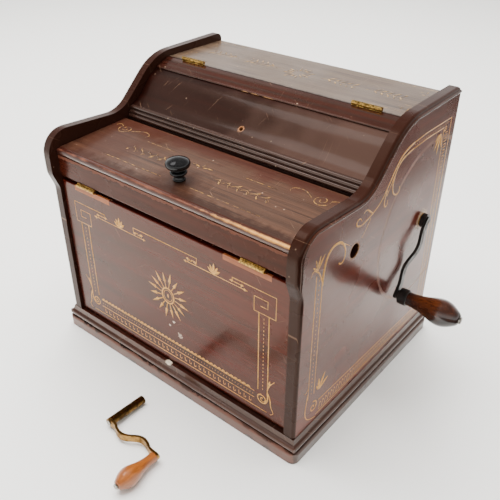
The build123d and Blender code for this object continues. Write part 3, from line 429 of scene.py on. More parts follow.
@dataclass(frozen=True)
class PlainWood(Finish):
    """Planed softwood with no varnish, gone honey-coloured: straight dull grain."""

    dark: str = "#7d5a38"
    light: str = "#b48d5f"
    along: Facing = Facing.X
    ring_mm: float = 4.0
    rough: float = 0.62
    coat: float = 0.0

    def shade(self, tree: Tree, place: Socket) -> dict[str, Any]:
        """Builds growth lines along the grain, with fine fibres over them."""
        band = grain(tree, place, self.along, 1000 / self.ring_mm, 4.0)
        fibre = grain(tree, place, self.along, 1400.0, 18.0)
        sum_up = add_node(tree, "Math", {0: fibre, 1: 0.4, 2: band}, operation="MULTIPLY_ADD")
        ramp = add_node(tree, "ValToRGB", {0: sum_up}, stops=((0.5, self.dark), (0.9, self.light)))
        bump = add_node(tree, "Bump", {"Strength": 0.25, "Distance": 0.0004, "Height": sum_up})
        return {
            "Base Color": ramp, "Roughness": self.rough, "Normal": bump, "Coat Weight": self.coat,
            "Coat Roughness": 0.25,
        }


@dataclass(frozen=True)
class TurnedGrip(Finish):
    """A turned hardwood grip: varnish left in the hollows, polished through by the hand."""

    dark: str = "#1d0c07"
    light: str = "#6b3a1e"
    centre: Place = (0.0, 0.0, 0.0)
    reach: Place = (20.0, 20.0, 20.0)
    along: Facing = Facing.X
    gloss: float = 0.25

    def shade(self, tree: Tree, place: Socket) -> dict[str, Any]:
        """Builds streaks along the grip and a polished patch where the hand turns on it."""
        streak = grain(tree, place, self.along, 420.0, 26.0, 5.0, 0.65)
        worn = WearAndReflectionPatch(self.centre, self.reach, self.light, ragged=0.3, grit=90.0, soft=1.0)
        mask = worn.mask(tree, place)
        level = add_node(tree, "MapRange", {0: streak, 1: 0.3, 2: 0.7, 3: 0.25, 4: 1.0})
        shown = add_node(tree, "Math", {0: mask, 1: level}, operation="MULTIPLY")
        mix = add_node(
            tree, "Mix", {0: shown, 6: colour(self.dark), 7: colour(self.light)}, data_type="RGBA"
        )
        bump = add_node(tree, "Bump", {"Strength": 0.15, "Distance": 0.0005, "Height": streak})
        return {
            "Base Color": mix.outputs[2], "Roughness": self.gloss, "Normal": bump,
            "Coat Weight": 0.6, "Coat Roughness": 0.12,
        }


@dataclass(frozen=True)
class OldMetal(Finish):
    """Bare metal with tarnish in patches and bright places where it is handled."""

    bright: str = "#c9a558"
    tarnish: str = "#5b4220"
    metallic: float = 1.0
    rough: float = 0.3
    patch_mm: float = 7.0
    tarnished: float = 0.5
    bump: float = 0.2

    def shade(self, tree: Tree, place: Socket) -> dict[str, Any]:
        """Builds the metal, its patches of tarnish and the fine pits under them."""
        patch = add_node(
            tree, "TexNoise",
            {"Vector": place, "Scale": 1000 / self.patch_mm, "Detail": 7.0, "Roughness": 0.62},
        )
        edge = 0.32 + 0.36 * self.tarnished
        dull = add_node(tree, "MapRange", {0: patch, 1: edge + 0.12, 2: edge - 0.1, 4: 1.0})
        mix = add_node(
            tree, "Mix", {0: dull, 6: colour(self.bright), 7: colour(self.tarnish)},
            data_type="RGBA",
        )
        rough = add_node(tree, "MapRange", {0: dull, 3: self.rough, 4: self.rough + 0.25})
        grain = add_node(tree, "TexNoise", {"Vector": place, "Scale": 1500.0})
        bump = add_node(tree, "Bump", {"Strength": self.bump, "Distance": 0.0003, "Height": grain})
        return {
            "Base Color": mix.outputs[2], "Metallic": self.metallic, "Roughness": rough,
            "Normal": bump,
        }


@dataclass(frozen=True)
class EbonisedWood(Finish):
    """Turned wood, stained black and French polished: black with a wet gloss."""

    def shade(self, tree: Tree, place: Socket) -> dict[str, Any]:
        """Builds the black gloss with the faint waviness of hand polish."""
        wave = add_node(tree, "TexNoise", {"Vector": place, "Scale": 220.0})
        tone = add_node(
            tree, "Mix", {0: wave, 6: colour("#0a0a0b"), 7: colour("#171616")}, data_type="RGBA"
        )
        bump = add_node(tree, "Bump", {"Strength": 0.06, "Distance": 0.0005, "Height": wave})
        return {
            "Base Color": tone.outputs[2], "Roughness": 0.13, "Specular IOR Level": 0.35,
            "Normal": bump,
        }


@dataclass(frozen=True)
class BellowsLeather(Finish):
    """Thin sheepskin, split and glued in folds: matt tan with a fine pebbled grain."""

    def shade(self, tree: Tree, place: Socket) -> dict[str, Any]:
        """Builds the pebbled grain and a tone that darkens and lightens in soft clouds."""
        pebble = add_node(tree, "TexVoronoi", {"Vector": place, "Scale": 900.0})
        cloud = add_node(tree, "TexNoise", {"Vector": place, "Scale": 40.0, "Detail": 6.0})
        ramp = add_node(tree, "ValToRGB", {0: cloud}, stops=((0.3, "#5a3a26"), (0.7, "#916848")))
        bump = add_node(
            tree, "Bump",
            {"Strength": 0.4, "Distance": 0.0003, "Height": pebble.outputs["Distance"]},
        )
        return {"Base Color": ramp, "Roughness": 0.72, "Normal": bump, "Sheen Weight": 0.2}


@dataclass(frozen=True)
class RollPaper(Finish):
    """Manila paper wound in a roll: yellowed, with the slots of the tune showing."""

    axis: Point = (0.0, 0.0)

    def shade(self, tree: Tree, place: Socket) -> dict[str, Any]:
        """Builds the yellowed paper and its slots."""
        centred = add_node(
            tree, "Mapping",
            {"Vector": place, "Location": (0.0, -self.axis[0] * MM, -self.axis[1] * MM)},
        )
        axes = add_node(tree, "SeparateXYZ", {0: centred})
        turn = add_node(tree, "Math", {0: axes.outputs[2], 1: axes.outputs[1]}, operation="ARCTAN2")
        flat = add_node(tree, "CombineXYZ", {0: axes, 1: turn})
        drawn = add_node(tree, "Mapping", {"Vector": flat, "Scale": (80.0, 3.2, 1.0)})
        slots = add_node(
            tree, "TexBrick",
            {
                "Vector": drawn, "Color1": (0, 0, 0, 1), "Color2": (1, 1, 1, 1),
                "Mortar": (0, 0, 0, 1), "Scale": 1.0, "Mortar Size": 0.2, "Brick Width": 1.0,
                "Row Height": 0.5,
            },
        )
        cut = add_node(tree, "MapRange", {0: slots.outputs["Color"], 1: 0.72, 2: 0.76, 4: 0.85})
        cloud = add_node(tree, "TexNoise", {"Vector": place, "Scale": 25.0, "Detail": 5.0})
        ramp = add_node(tree, "ValToRGB", {0: cloud}, stops=((0.3, "#b39b6c"), (0.7, "#d3bf92")))
        mix = add_node(tree, "Mix", {0: cut, 6: ramp, 7: colour("#4a3820")}, data_type="RGBA")
        return {"Base Color": mix.outputs[2], "Roughness": 0.75}


@dataclass(frozen=True)
class StudioFloor(Finish):
    """Matt paper, or another floor without a figure: one even tone."""

    code: str = "#f6f4ef"

    def shade(self, tree: Tree, place: Socket) -> dict[str, Any]:
        """Builds the flat tone with a barely visible tooth."""
        tooth = add_node(tree, "TexNoise", {"Vector": place, "Scale": 900.0})
        bump = add_node(tree, "Bump", {"Strength": 0.02, "Distance": 0.0002, "Height": tooth})
        return {"Base Color": colour(self.code), "Roughness": 0.6, "Normal": bump}


def make_piece(form: bmesh.types.BMesh, name: str, finish: Finish) -> bpy.types.Object:
    """Turns a bmesh into an object in the scene with one finish, and frees the bmesh."""
    mesh = bpy.data.meshes.new(name)
    form.to_mesh(mesh)
    form.free()
    mesh.materials.append(finish.build())
    piece = bpy.data.objects.new(name, mesh)
    bpy.context.scene.collection.objects.link(piece)
    return piece


@dataclass
class Looks:
    """The finishes of one sub-assembly."""

    frame: dict[str, Any]

    def cover(self, finish: Finish, *names: str) -> None:
        """Gives a finish to CAD nodes.

        Args:
            finish: The finish.
            names: The nodes' names.
        """
        material = finish.build()
        for name in names:
            mesh = self.frame["nodes"][name].data
            mesh.materials.clear()
            mesh.materials.append(material)
        LOG.info("dressed %s as %s", ", ".join(names), finish.name)


# --- Gilt stencils ---
@dataclass
class Stencil:
    """Gilt ornament laid on one flat face, drawn in millimetres across (u) and up (v)."""

    name: str
    origin: Place
    across: Place
    up: Place
    weight: float = 1.0
    strokes: list[tuple[list[Point], list[float], bool, bool]] = field(default_factory=list)

    def line(self, points: Sequence[Point], width: float = 1.0, closed: bool = False) -> None:
        """Draws a straight-sided line of one width."""
        self.strokes.append((list(points), [width / 2] * len(points), False, closed))

    def curl(self, points: Sequence[Point], width: float = 1.2, tail: float = 0.3) -> None:
        """Draws a smooth stroke that swells in the middle and thins towards its end.

        Args:
            points: The points that pull the stroke along.
            width: Its greatest width.
            tail: The share of the width left at the end.
        """
        last = len(points) - 1
        widths = []
        for i in range(len(points)):
            t = i / last
            swell = 0.55 + 0.45 * math.sin(math.pi * min(1.0, t * 1.15 + 0.1))
            widths.append(width / 2 * max(tail, swell * (1 - t * (1 - tail))))
        self.strokes.append((list(points), widths, True, False))

    def spiral(
        self, centre: Point, radius: float, start: float, turns: float, width: float = 1.2
    ) -> None:
        """Draws a spiral that winds in to its centre and ends in a dot.

        Args:
            centre: The middle of the spiral.
            radius: Its radius at the start.
            start: The angle in degrees where it starts.
            turns: How many turns it makes, negative to wind clockwise.
            width: The width of its line at the start.
        """
        steps = max(8, int(abs(turns) * 14))
        points = []
        for i in range(steps + 1):
            t = i / steps
            r = radius * (1 - 0.82 * t)
            a = math.radians(start) + 2 * math.pi * turns * t
            points.append((centre[0] + r * math.cos(a), centre[1] + r * math.sin(a)))
        self.curl(points, width, 0.6)
        self.dot(points[-1], width * 0.75)

    def spear(self, base: Point, angle: float, length: float, width: float) -> None:
        """Draws a ray with a barbed head.

        Args:
            base: Where the ray starts.
            angle: Its direction in degrees.
            length: Its length.
            width: The width of its head.
        """
        a = math.radians(angle)
        profile = ((0.0, 0.25), (0.38, 0.3), (0.42, 1.0), (0.68, 0.6), (1.0, 0.05))
        points = [
            (base[0] + length * t * math.cos(a), base[1] + length * t * math.sin(a))
            for t, _ in profile
        ]
        self.strokes.append((points, [width / 2 * w for _, w in profile], False, False))

    def leaf(
        self, base: Point, angle: float, length: float, width: float, bend: float = 0.0
    ) -> None:
        """Draws a pointed leaf.

        Args:
            base: Where its stem starts.
            angle: Its direction in degrees.
            length: Its length.
            width: Its greatest width.
            bend: How far it curves to the left along its length, in degrees.
        """
        profile = ((0.0, 0.15), (0.3, 0.8), (0.55, 1.0), (0.8, 0.6), (1.0, 0.05))
        points = [base]
        for (t0, _), (t1, _) in zip(profile, profile[1:]):
            a = math.radians(angle + bend * (t0 + t1) / 2)
            step = length * (t1 - t0)
            points.append((points[-1][0] + step * math.cos(a), points[-1][1] + step * math.sin(a)))
        self.strokes.append((points, [width / 2 * w for _, w in profile], False, False))

    def dot(self, centre: Point, radius: float) -> None:
        """Draws a round dot."""
        reach = radius * 0.5
        points = [(centre[0] - reach, centre[1]), centre, (centre[0] + reach, centre[1])]
        self.strokes.append((points, [radius * 0.7, radius, radius * 0.7], False, False))

    def dots(self, start: Point, end: Point, pitch: float, radius: float) -> None:
        """Draws a row of dots from one point to another."""
        span = math.dist(start, end)
        count = max(1, round(span / pitch))
        for i in range(count + 1):
            t = i / count
            spot = (start[0] + (end[0] - start[0]) * t, start[1] + (end[1] - start[1]) * t)
            self.dot(spot, radius)

    def mirrored(self, about: float = 0.0) -> None:
        """Adds the mirror image of everything drawn so far, left for right."""
        for points, widths, smooth, closed in list(self.strokes):
            flipped = [(2 * about - u, v) for u, v in points]
            self.strokes.append((flipped, widths, smooth, closed))

    def build(self, finish: Finish, body: str) -> bpy.types.Object:
        """Makes the gilt piece as one thin mesh on its face.

        Args:
            finish: The gilding.
            body: The body that the piece rides on.

        Returns:
            The finished piece.
        """
        curve = bpy.data.curves.new(self.name, "CURVE")
        curve.dimensions = "3D"
        curve.bevel_depth = 1.0
        curve.bevel_resolution = 0
        curve.resolution_u = 6
        curve.use_fill_caps = True
        for points, widths, smooth, closed in self.strokes:
            spline = curve.splines.new("NURBS" if smooth else "POLY")
            spline.points.add(len(points) - 1)
            for knot, (u, v), width in zip(spline.points, points, widths):
                knot.co = (u, v, 0.0, 1.0)
                knot.radius = width * self.weight
            if smooth:
                spline.order_u = 3
                spline.use_endpoint_u = True
            spline.use_cyclic_u = closed
        drawn = bpy.data.objects.new(self.name + "_drawn", curve)
        bpy.context.scene.collection.objects.link(drawn)
        graph = bpy.context.evaluated_depsgraph_get()
        mesh = bpy.data.meshes.new_from_object(drawn.evaluated_get(graph))
        bpy.data.objects.remove(drawn)
        across, up = Vector(self.across).normalized(), Vector(self.up).normalized()
        out = across.cross(up)
        place = Matrix.Translation(Vector(self.origin) * MM) @ Matrix(
            (
                (across.x, up.x, out.x, 0), (across.y, up.y, out.y, 0), (across.z, up.z, out.z, 0),
                (0, 0, 0, 1),
            ),
        )
        form = bmesh.new()
        form.from_mesh(mesh)
        bmesh.ops.scale(form, vec=(MM, MM, MM * 0.12), verts=form.verts)
        bmesh.ops.transform(form, matrix=place, verts=form.verts)
        bmesh.ops.remove_doubles(form, verts=form.verts, dist=1e-7)
        bmesh.ops.recalc_face_normals(form, faces=form.faces)
        bpy.data.meshes.remove(mesh)
        piece = make_piece(form, self.name, finish)
        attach(piece, body)
        LOG.info("gilt piece %s: %d strokes", self.name, len(self.strokes))
        return piece


@dataclass
class DoorOrnament:
    """The front door's stencil: sunburst, key corners, dotted columns and toothed foot."""

    face_y: float = -149.5
    sun: Point = (1.0, 136.5)
    column: Point = (138.0, 151.5)
    top: float = 210.5
    rays: int = 16

    def build(self) -> None:
        """Draws the ornament and lays it on the door."""
        sheet = Stencil("gilt_door", (0, self.face_y, 0), (1, 0, 0), (0, 0, 1), 1.5)
        self._corner(sheet)
        self._column(sheet)
        self._top_run(sheet)
        sheet.mirrored(0.5)
        self._foot(sheet)
        self._sunburst(sheet)
        sheet.build(Gilding("bronze_stencil_on_door", faded=0.06), "front_door")

    def _corner(self, sheet: Stencil) -> None:
        """A square key turned in on itself at each upper corner."""
        sheet.line(
            [
                (102, self.top - 1.5), (160, self.top - 1.5), (160, 181), (131.5, 181),
                (131.5, 199.5), (149.5, 199.5), (149.5, 190), (140, 190),
            ],
            0.8,
        )

    def _column(self, sheet: Stencil) -> None:
        """Two lines with a row of dots between them, and the scrolls at their foot."""
        inner, outer = self.column
        for u in (inner, outer):
            sheet.line([(u, 181), (u, 72)], 0.9)
        middle = (inner + outer) / 2
        sheet.dots((middle, 175), (middle, 76), 5.2, 0.85)
        sheet.curl([(151.5, 74), (153, 64), (148, 54), (139, 55), (137, 64), (143, 67)], 1.6, 0.6)
        sheet.spiral((144.5, 60.5), 6.0, 120, -1.1, 1.3)
        sheet.curl([(151.5, 78), (153, 86), (158, 92), (161, 96)], 1.5)
        sheet.curl([(152, 74), (156, 66), (156, 55), (162, 46), (156, 43)], 1.4, 0.4)
        sheet.leaf((154, 84), 100, 10, 2.0, -30)

    def _top_run(self, sheet: Stencil) -> None:
        """The interlocked lines with hooked ends, and a palmette over each side."""
        low = 200.5
        sheet.line([(102, self.top - 1.5), (102, 204.5), (110, 204.5)], 0.8)
        sheet.line([(38, low), (114, low), (114, 204.5), (106, 204.5)], 0.8)
        sheet.line([(0.5, self.top), (51, self.top), (51, 205), (43, 205)], 0.8)
        sheet.line([(38, low), (38, 203.5), (44, 203.5)], 0.8)
        for u, v, turn in ((112, 204.5, 0), (104, 204.5, 180), (41, 205, 180), (46, 203.5, 0)):
            sheet.spear((u, v), turn, 6, 2.4)
        sheet.spear((114, low), 0, 9, 2.6)
        sheet.spear((38, low), 180, 7, 2.4)
        for turn, size in ((90, 14), (62, 12), (118, 12), (36, 11), (144, 11)):
            sheet.leaf((76, low + 0.5), turn, size, 2.6)

    def _foot(self, sheet: Stencil) -> None:
        """The toothed edge, a row of dots, a line, a row of small hooks and the outer line."""
        pitch = 6.3
        count = int(264 / pitch)
        for i in range(count):
            u = -131.5 + pitch * i
            sheet.leaf((u, 66.8), 32, 6.4, 1.9, -20)
            sheet.leaf((u + 3.0, 70.0), -38, 4.6, 1.3)
        sheet.line([(-132, 66.4), (133, 66.4)], 0.7)
        sheet.dots((-130, 61.3), (131, 61.3), 4.4, 0.6)
        sheet.line([(-132, 56.2), (133, 56.2)], 0.75)
        for i in range(33):
            u = -127 + 7.9 * i
            sheet.line([(u, 53.2), (u, 47.6), (u + 2.4, 47.6), (u + 2.4, 50.0)], 0.6)
        sheet.line([(-150, 43.6), (151, 43.6)], 0.8)

    def _sunburst(self, sheet: Stencil) -> None:
        """A ring with barbed rays round it."""
        centre = self.sun
        for radius, width in ((9.6, 1.5), (6.9, 0.5)):
            circle = [
                (
                    centre[0] + radius * math.cos(2 * math.pi * i / 40),
                    centre[1] + radius * 1.12 * math.sin(2 * math.pi * i / 40),
                )
                for i in range(40)
            ]
            sheet.line(circle, width, closed=True)
        sheet.leaf((centre[0], centre[1] - 3.2), 90, 6.4, 2.0)
        for i in range(self.rays):
            turn = 360 * (i + 0.5) / self.rays
            length = 22 if i % 2 else 19.5
            base = (
                centre[0] + 11.5 * math.cos(math.radians(turn)),
                centre[1] + 12.2 * math.sin(math.radians(turn)),
            )
            sheet.spear(base, turn, length, 3.2)


@dataclass
class SideOrnament:
    """The stencil on each side: dotted border, corner leaves and scrolls along the curve."""

    face_x: float = 192.5

    def build(self, side: int) -> None:
        """Draws the ornament and lays it on one side.

        Args:
            side: 1 for the crank side, -1 for the other.
        """
        name = "gilt_side_right" if side > 0 else "gilt_side_left"
        sheet = Stencil(name, (side * self.face_x, 0, 0), (0, 1, 0), (0, 0, 1), 1.5)
        self._front(sheet)
        self._foot(sheet)
        self._rear(sheet)
        self._curve(sheet)
        sheet.build(Gilding(f"bronze_stencil_{name}", faded=0.12), "case")

    def _front(self, sheet: Stencil) -> None:
        """The front column and the scroll that grows from its head."""
        sheet.line([(-130.5, 240), (-130, 74)], 0.8)
        sheet.line([(-119.5, 236), (-118.5, 76)], 0.8)
        sheet.dots((-125, 232), (-124.3, 80), 5.6, 0.8)
        sheet.curl(
            [
                (-118.8, 222), (-118.5, 240), (-113, 256), (-102, 262), (-88, 259), (-79.5, 247),
                (-80, 235), (-87, 231), (-91, 235),
            ],
            3.0, 0.4,
        )
        sheet.curl([(-103, 260.5), (-94, 261), (-84, 255), (-72, 246.5)], 1.6, 0.2)
        sheet.curl([(-119, 226), (-124, 240), (-131, 246), (-138, 250), (-140, 243)], 1.8, 0.3)
        for turn, size in ((150, 12), (118, 15), (88, 16), (62, 17)):
            sheet.leaf((-128, 246), turn, size, 2.2, -15)
        sheet.leaf((-119, 238), 76, 24, 2.2, -18)

    def _foot(self, sheet: Stencil) -> None:
        """The scroll in the lower front corner and the hatched row along the bottom."""
        sheet.spiral((-118.5, 55), 8.5, 95, -1.2, 1.6)
        sheet.curl([(-130, 84), (-134, 66), (-134, 50), (-126, 39), (-112, 35)], 1.4, 0.5)
        sheet.curl([(-130, 92), (-137, 84), (-139, 92)], 1.2)
        for turn, size in ((112, 18), (78, 22), (40, 18), (142, 12)):
            sheet.leaf((-107, 75), turn, size, 3.0, -25)
        sheet.line([(-108, 58), (126, 51)], 0.8)
        sheet.line([(-112, 38), (146, 38)], 0.8)
        for i in range(40):
            u = -104 + 6.0 * i
            v = 53 - 0.018 * (u + 108)
            sheet.line([(u, v), (u - 2.2, 42.5)], 0.65)
            sheet.line([(u, v), (u + 1.8, v - 3.4)], 0.6)
        sheet.line([(-106, 41.6), (140, 41.2)], 0.5)

    def _rear(self, sheet: Stencil) -> None:
        """The chain of squares down the rear edge, with leaves in the upper corner."""
        sheet.line([(137, 321), (146, 60), (146, 38)], 0.8)
        sheet.line([(120, 312), (130, 60), (126, 51)], 0.8)
        for i in range(32):
            v = 302 - 7.6 * i
            u = 127.5 + 0.037 * (311 - v)
            sheet.line([(u - 3, v), (u + 3, v), (u + 3, v + 3.8), (u - 3, v + 3.8)], 0.7)
        sheet.spiral((124, 312), 4.2, 180, 1.1, 1.2)
        for turn, size in ((196, 15), (222, 22), (250, 26), (278, 20)):
            sheet.leaf((114, 308), turn, size, 3.2, 22)

    def _curve(self, sheet: Stencil) -> None:
        """The dotted run along the top and the branches that follow the curve."""
        sheet.line([(137, 321), (72, 321.5), (45, 319.5)], 0.9)
        sheet.line([(120, 313.5), (76, 314), (46, 312.5)], 0.9)
        sheet.dots((130, 317.4), (48, 316.2), 4.3, 0.65)
        sheet.curl(
            [(46, 319.5), (26, 317), (10, 304), (-2, 288), (-14, 273), (-34, 264), (-52, 261)], 2.4,
            0.5,
        )
        sheet.curl([(46, 312.5), (27, 311), (14, 303), (4, 287), (-4, 275)], 2.0, 0.5)
        sheet.curl([(14, 303), (6, 290), (8, 274), (18, 267), (26, 270), (23, 276)], 2.0, 0.5)
        sheet.curl([(-4, 282), (-9, 272), (-6, 262), (0, 263), (-1, 269)], 2.0, 0.5)
        sheet.curl([(-52, 261), (-62, 263), (-63, 270), (-56, 272), (-53, 267)], 1.7, 0.5)
        sheet.curl([(-30, 265), (-38, 272), (-46, 277), (-50, 274)], 1.8, 0.4)
        sheet.curl([(-34, 262), (-41, 252), (-49, 245)], 1.3, 0.2)


@dataclass
class TopOrnament:
    """Faded stencils on the top board and the lid: leafy sprays and plain scrolls."""

    top_z: float = 343.3
    board: Point = (99.5, 0.0)
    pivot: Point = (-41.0, 276.2)
    slope: float = 2.86

    def build(self) -> None:
        """Draws both ornaments and lays them on their boards."""
        self._top_board()
        self._lid()

    def _top_board(self) -> None:
        """A sunburst with a leafy spray on each side and a key in each corner."""
        sheet = Stencil("gilt_top_board", (0, 0, self.top_z), (1, 0, 0), (0, 1, 0), 1.3)
        middle = self.board[0]
        for reach in (34, 98):
            sheet.curl([(reach, middle), (reach + 22, middle + 8), (reach + 52, middle - 4)], 1.4)
            for i in range(5):
                base = (reach + 8 + 9 * i, middle + 3.5 - 0.6 * i)
                sheet.leaf(base, 38 + 5 * i, 13, 2.4, 20)
                sheet.leaf(base, -34 - 5 * i, 12, 2.4, -20)
        for v, turn in ((146, -1), (60, 1)):
            sheet.line([(120, v), (168, v), (168, v + 22 * turn), (158, v + 22 * turn)], 0.9)
            sheet.line([(160, v + 6 * turn), (160, v + 14 * turn), (152, v + 14 * turn)], 0.9)
        sheet.mirrored()
        for i in range(16):
            turn = 360 * i / 16
            base = (7 * math.cos(math.radians(turn)), middle + 7 * math.sin(math.radians(turn)))
            sheet.leaf(base, turn, 16 if i % 2 else 12, 2.6)
        sheet.build(Gilding("worn_stencil_on_top", "#a08a5c", "#5a473a", 0.6, 6.0), "case")

    def _lid(self) -> None:
        """Scrolls in the rear corners, with sprays and ruled flourishes between them."""
        tilt = math.radians(self.slope)
        rise = 4.5
        origin = (0, self.pivot[0] - rise * math.sin(tilt), self.pivot[1] + rise * math.cos(tilt))
        sheet = Stencil("gilt_lid", origin, (1, 0, 0), (0, math.cos(tilt), math.sin(tilt)), 1.4)
        sheet.spiral((150, -22), 11, 30, -1.6, 1.1)
        sheet.curl([(139, -24), (128, -15), (116, -14), (108, -20), (112, -25)], 1.4)
        sheet.curl([(160, -18), (168, -10), (171, -20)], 1.1)
        sheet.line([(22, -84), (118, -84)], 0.7)
        sheet.line([(52, -31), (100, -31)], 0.6)
        for i in range(6):
            base = (30 + 13 * i, -56)
            sheet.curl([base, (base[0] + 4, -51), (base[0] + 9, -53), (base[0] + 13, -57)], 1.0)
            sheet.leaf((base[0] + 5, -53), 50, 7, 1.8)
            sheet.leaf((base[0] + 8, -55), -52, 7, 1.8)
        sheet.mirrored()
        sheet.leaf((0, -40), 90, 8, 2.2)
        sheet.leaf((-2, -42), 160, 14, 2.0, 20)
        sheet.leaf((2, -42), 20, 14, 2.0, -20)
        sheet.build(Gilding("worn_stencil_on_lid", "#b0884f", "#4e382d", 0.56, 6.0), "lid")


# --- Bellows ---
@dataclass
class PleatedBellows:
    """The folded leather round one wedge of the bellows."""

    name: str
    node: str
    x: Point
    fixed_z: float
    hinge: Point
    angle: float
    reach: float
    folds: int = 5
    depth: float = 5.0
    skin: float = 0.9

    def _edge(self, y: float) -> float:
        """Height of the swinging board's face at y."""
        gap = 0.6 if self.angle > 0 else -0.6
        return self.hinge[1] + math.tan(math.radians(self.angle)) * (y - self.hinge[0]) - gap

    def _wall(self, form: bmesh.types.BMesh, start: Point, end: Point, out: Point) -> None:
        """Adds one folded wall between two corners.

        Args:
            form: The bmesh to add to.
            start: The first corner, as (x, y).
            end: The second corner.
            out: The direction in which the folds stand out.
        """
        columns, rows = 14, self.folds * 2
        grid = bmesh.ops.create_grid(form, x_segments=columns, y_segments=rows, size=0.5)
        for vert in grid["verts"]:
            s, t = vert.co.x + 0.5, vert.co.y + 0.5
            x = start[0] + (end[0] - start[0]) * s
            y = start[1] + (end[1] - start[1]) * s
            far = self._edge(y)
            share = abs(far - self.fixed_z) / abs(self._edge(end[1]) - self.fixed_z + 1e-6)
            fold = abs((t * self.folds) % 1.0 - 0.5) * 2.0
            push = self.depth * (1 - fold) * min(1.0, 0.35 + 0.65 * share)
            z = self.fixed_z + (far - self.fixed_z) * t
            vert.co = Vector(((x + out[0] * push) * MM, (y + out[1] * push) * MM, z * MM))

    def build(self) -> bpy.types.Object:
        """Builds the three walls and returns the piece, not yet tied to a body."""
        front = self.hinge[0] + 14
        rear = self.hinge[0] + self.reach * math.cos(math.radians(self.angle)) - 10
        left, right = self.x[0] + 7, self.x[1] - 7
        form = bmesh.new()
        self._wall(form, (left, front), (left, rear), (-1, 0))
        self._wall(form, (left, rear), (right, rear), (0, 1))
        self._wall(form, (right, front), (right, rear), (1, 0))
        bmesh.ops.remove_doubles(form, verts=form.verts, dist=1e-6)
        bmesh.ops.recalc_face_normals(form, faces=form.faces)
        piece = make_piece(form, self.name, BellowsLeather("sheepskin_" + self.name))
        thick = piece.modifiers.new("skin", "SOLIDIFY")
        thick.thickness = self.skin * MM
        thick.offset = -1.0
        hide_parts(self.node)
        LOG.info("bellows %s", self.name)
        return piece


@dataclass
class LeafSprings:
    """The two folded steel leaves that hold the reservoir open."""

    floor: float = 128.0
    starts: Point = (-60.0, 100.0)
    width: float = 12.0

    def build(self) -> None:
        """Builds both springs as one piece, which rides on the case."""
        profile = ((35, 0.1), (35, 1.3), (-38, 6.5), (32, 22.0), (32, 23.2), (-42, 6.5))
        form = bmesh.new()
        for x in self.starts:
            edge = [form.verts.new(Vector((x, y, self.floor + z)) * MM) for y, z in profile]
            grown = bmesh.ops.extrude_face_region(form, geom=[form.faces.new(edge)])
            moved = [part for part in grown["geom"] if isinstance(part, bmesh.types.BMVert)]
            bmesh.ops.translate(form, vec=(self.width * MM, 0, 0), verts=moved)
        bmesh.ops.recalc_face_normals(form, faces=form.faces)
        finish = OldMetal("blued_spring_steel", "#77726c", "#3f3833", rough=0.35)
        piece = make_piece(form, "reservoir_leaf_springs", finish)
        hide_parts("reservoir_springs")
        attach(piece, "case")
        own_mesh(piece)
        LOG.info("springs of the reservoir")


@dataclass
class Bellows:
    """The two feeders under the middle board and the reservoir over it."""

    feeder_hinge: Point = (-127.0, 117.7)
    reservoir_hinge: Point = (-127.0, 128.3)
    crank_y: float = 98.7
    feet: Point = (89.0, 61.0)
    middle_board: Point = (118.0, 128.0)  # the height of its underside and its top
    feeder_reach: float = 193.0
    reservoir_reach: float = 178.0
    reservoir_angle: float = 9.0

    def build(self) -> None:
        """Builds the three folded skins and the springs; the right feeder's skin and the
        reservoir's ride on the case.
        """
        sides = zip(("left", "right"), ((-158, -6), (6, 158)), self.feet)
        for side, x, foot in sides:
            run = self.crank_y - self.feeder_hinge[0]
            angle = math.degrees(math.atan2(foot - self.feeder_hinge[1], run))
            piece = PleatedBellows(
                f"feeder_skin_{side}",
                f"feeder_cloth_{side}",
                x,
                self.middle_board[0],
                self.feeder_hinge,
                angle,
                self.feeder_reach,
                folds=3 if side == "left" else 5,
            ).build()
            if side == "left":
                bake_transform(piece)
            else:
                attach(piece, "case")
                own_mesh(piece)
        piece = PleatedBellows(
            "reservoir_skin", "reservoir_cloth", (-120, 158), self.middle_board[1],
            self.reservoir_hinge, self.reservoir_angle, self.reservoir_reach, 4,
        ).build()
        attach(piece, "case")
        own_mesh(piece)
        LeafSprings().build()


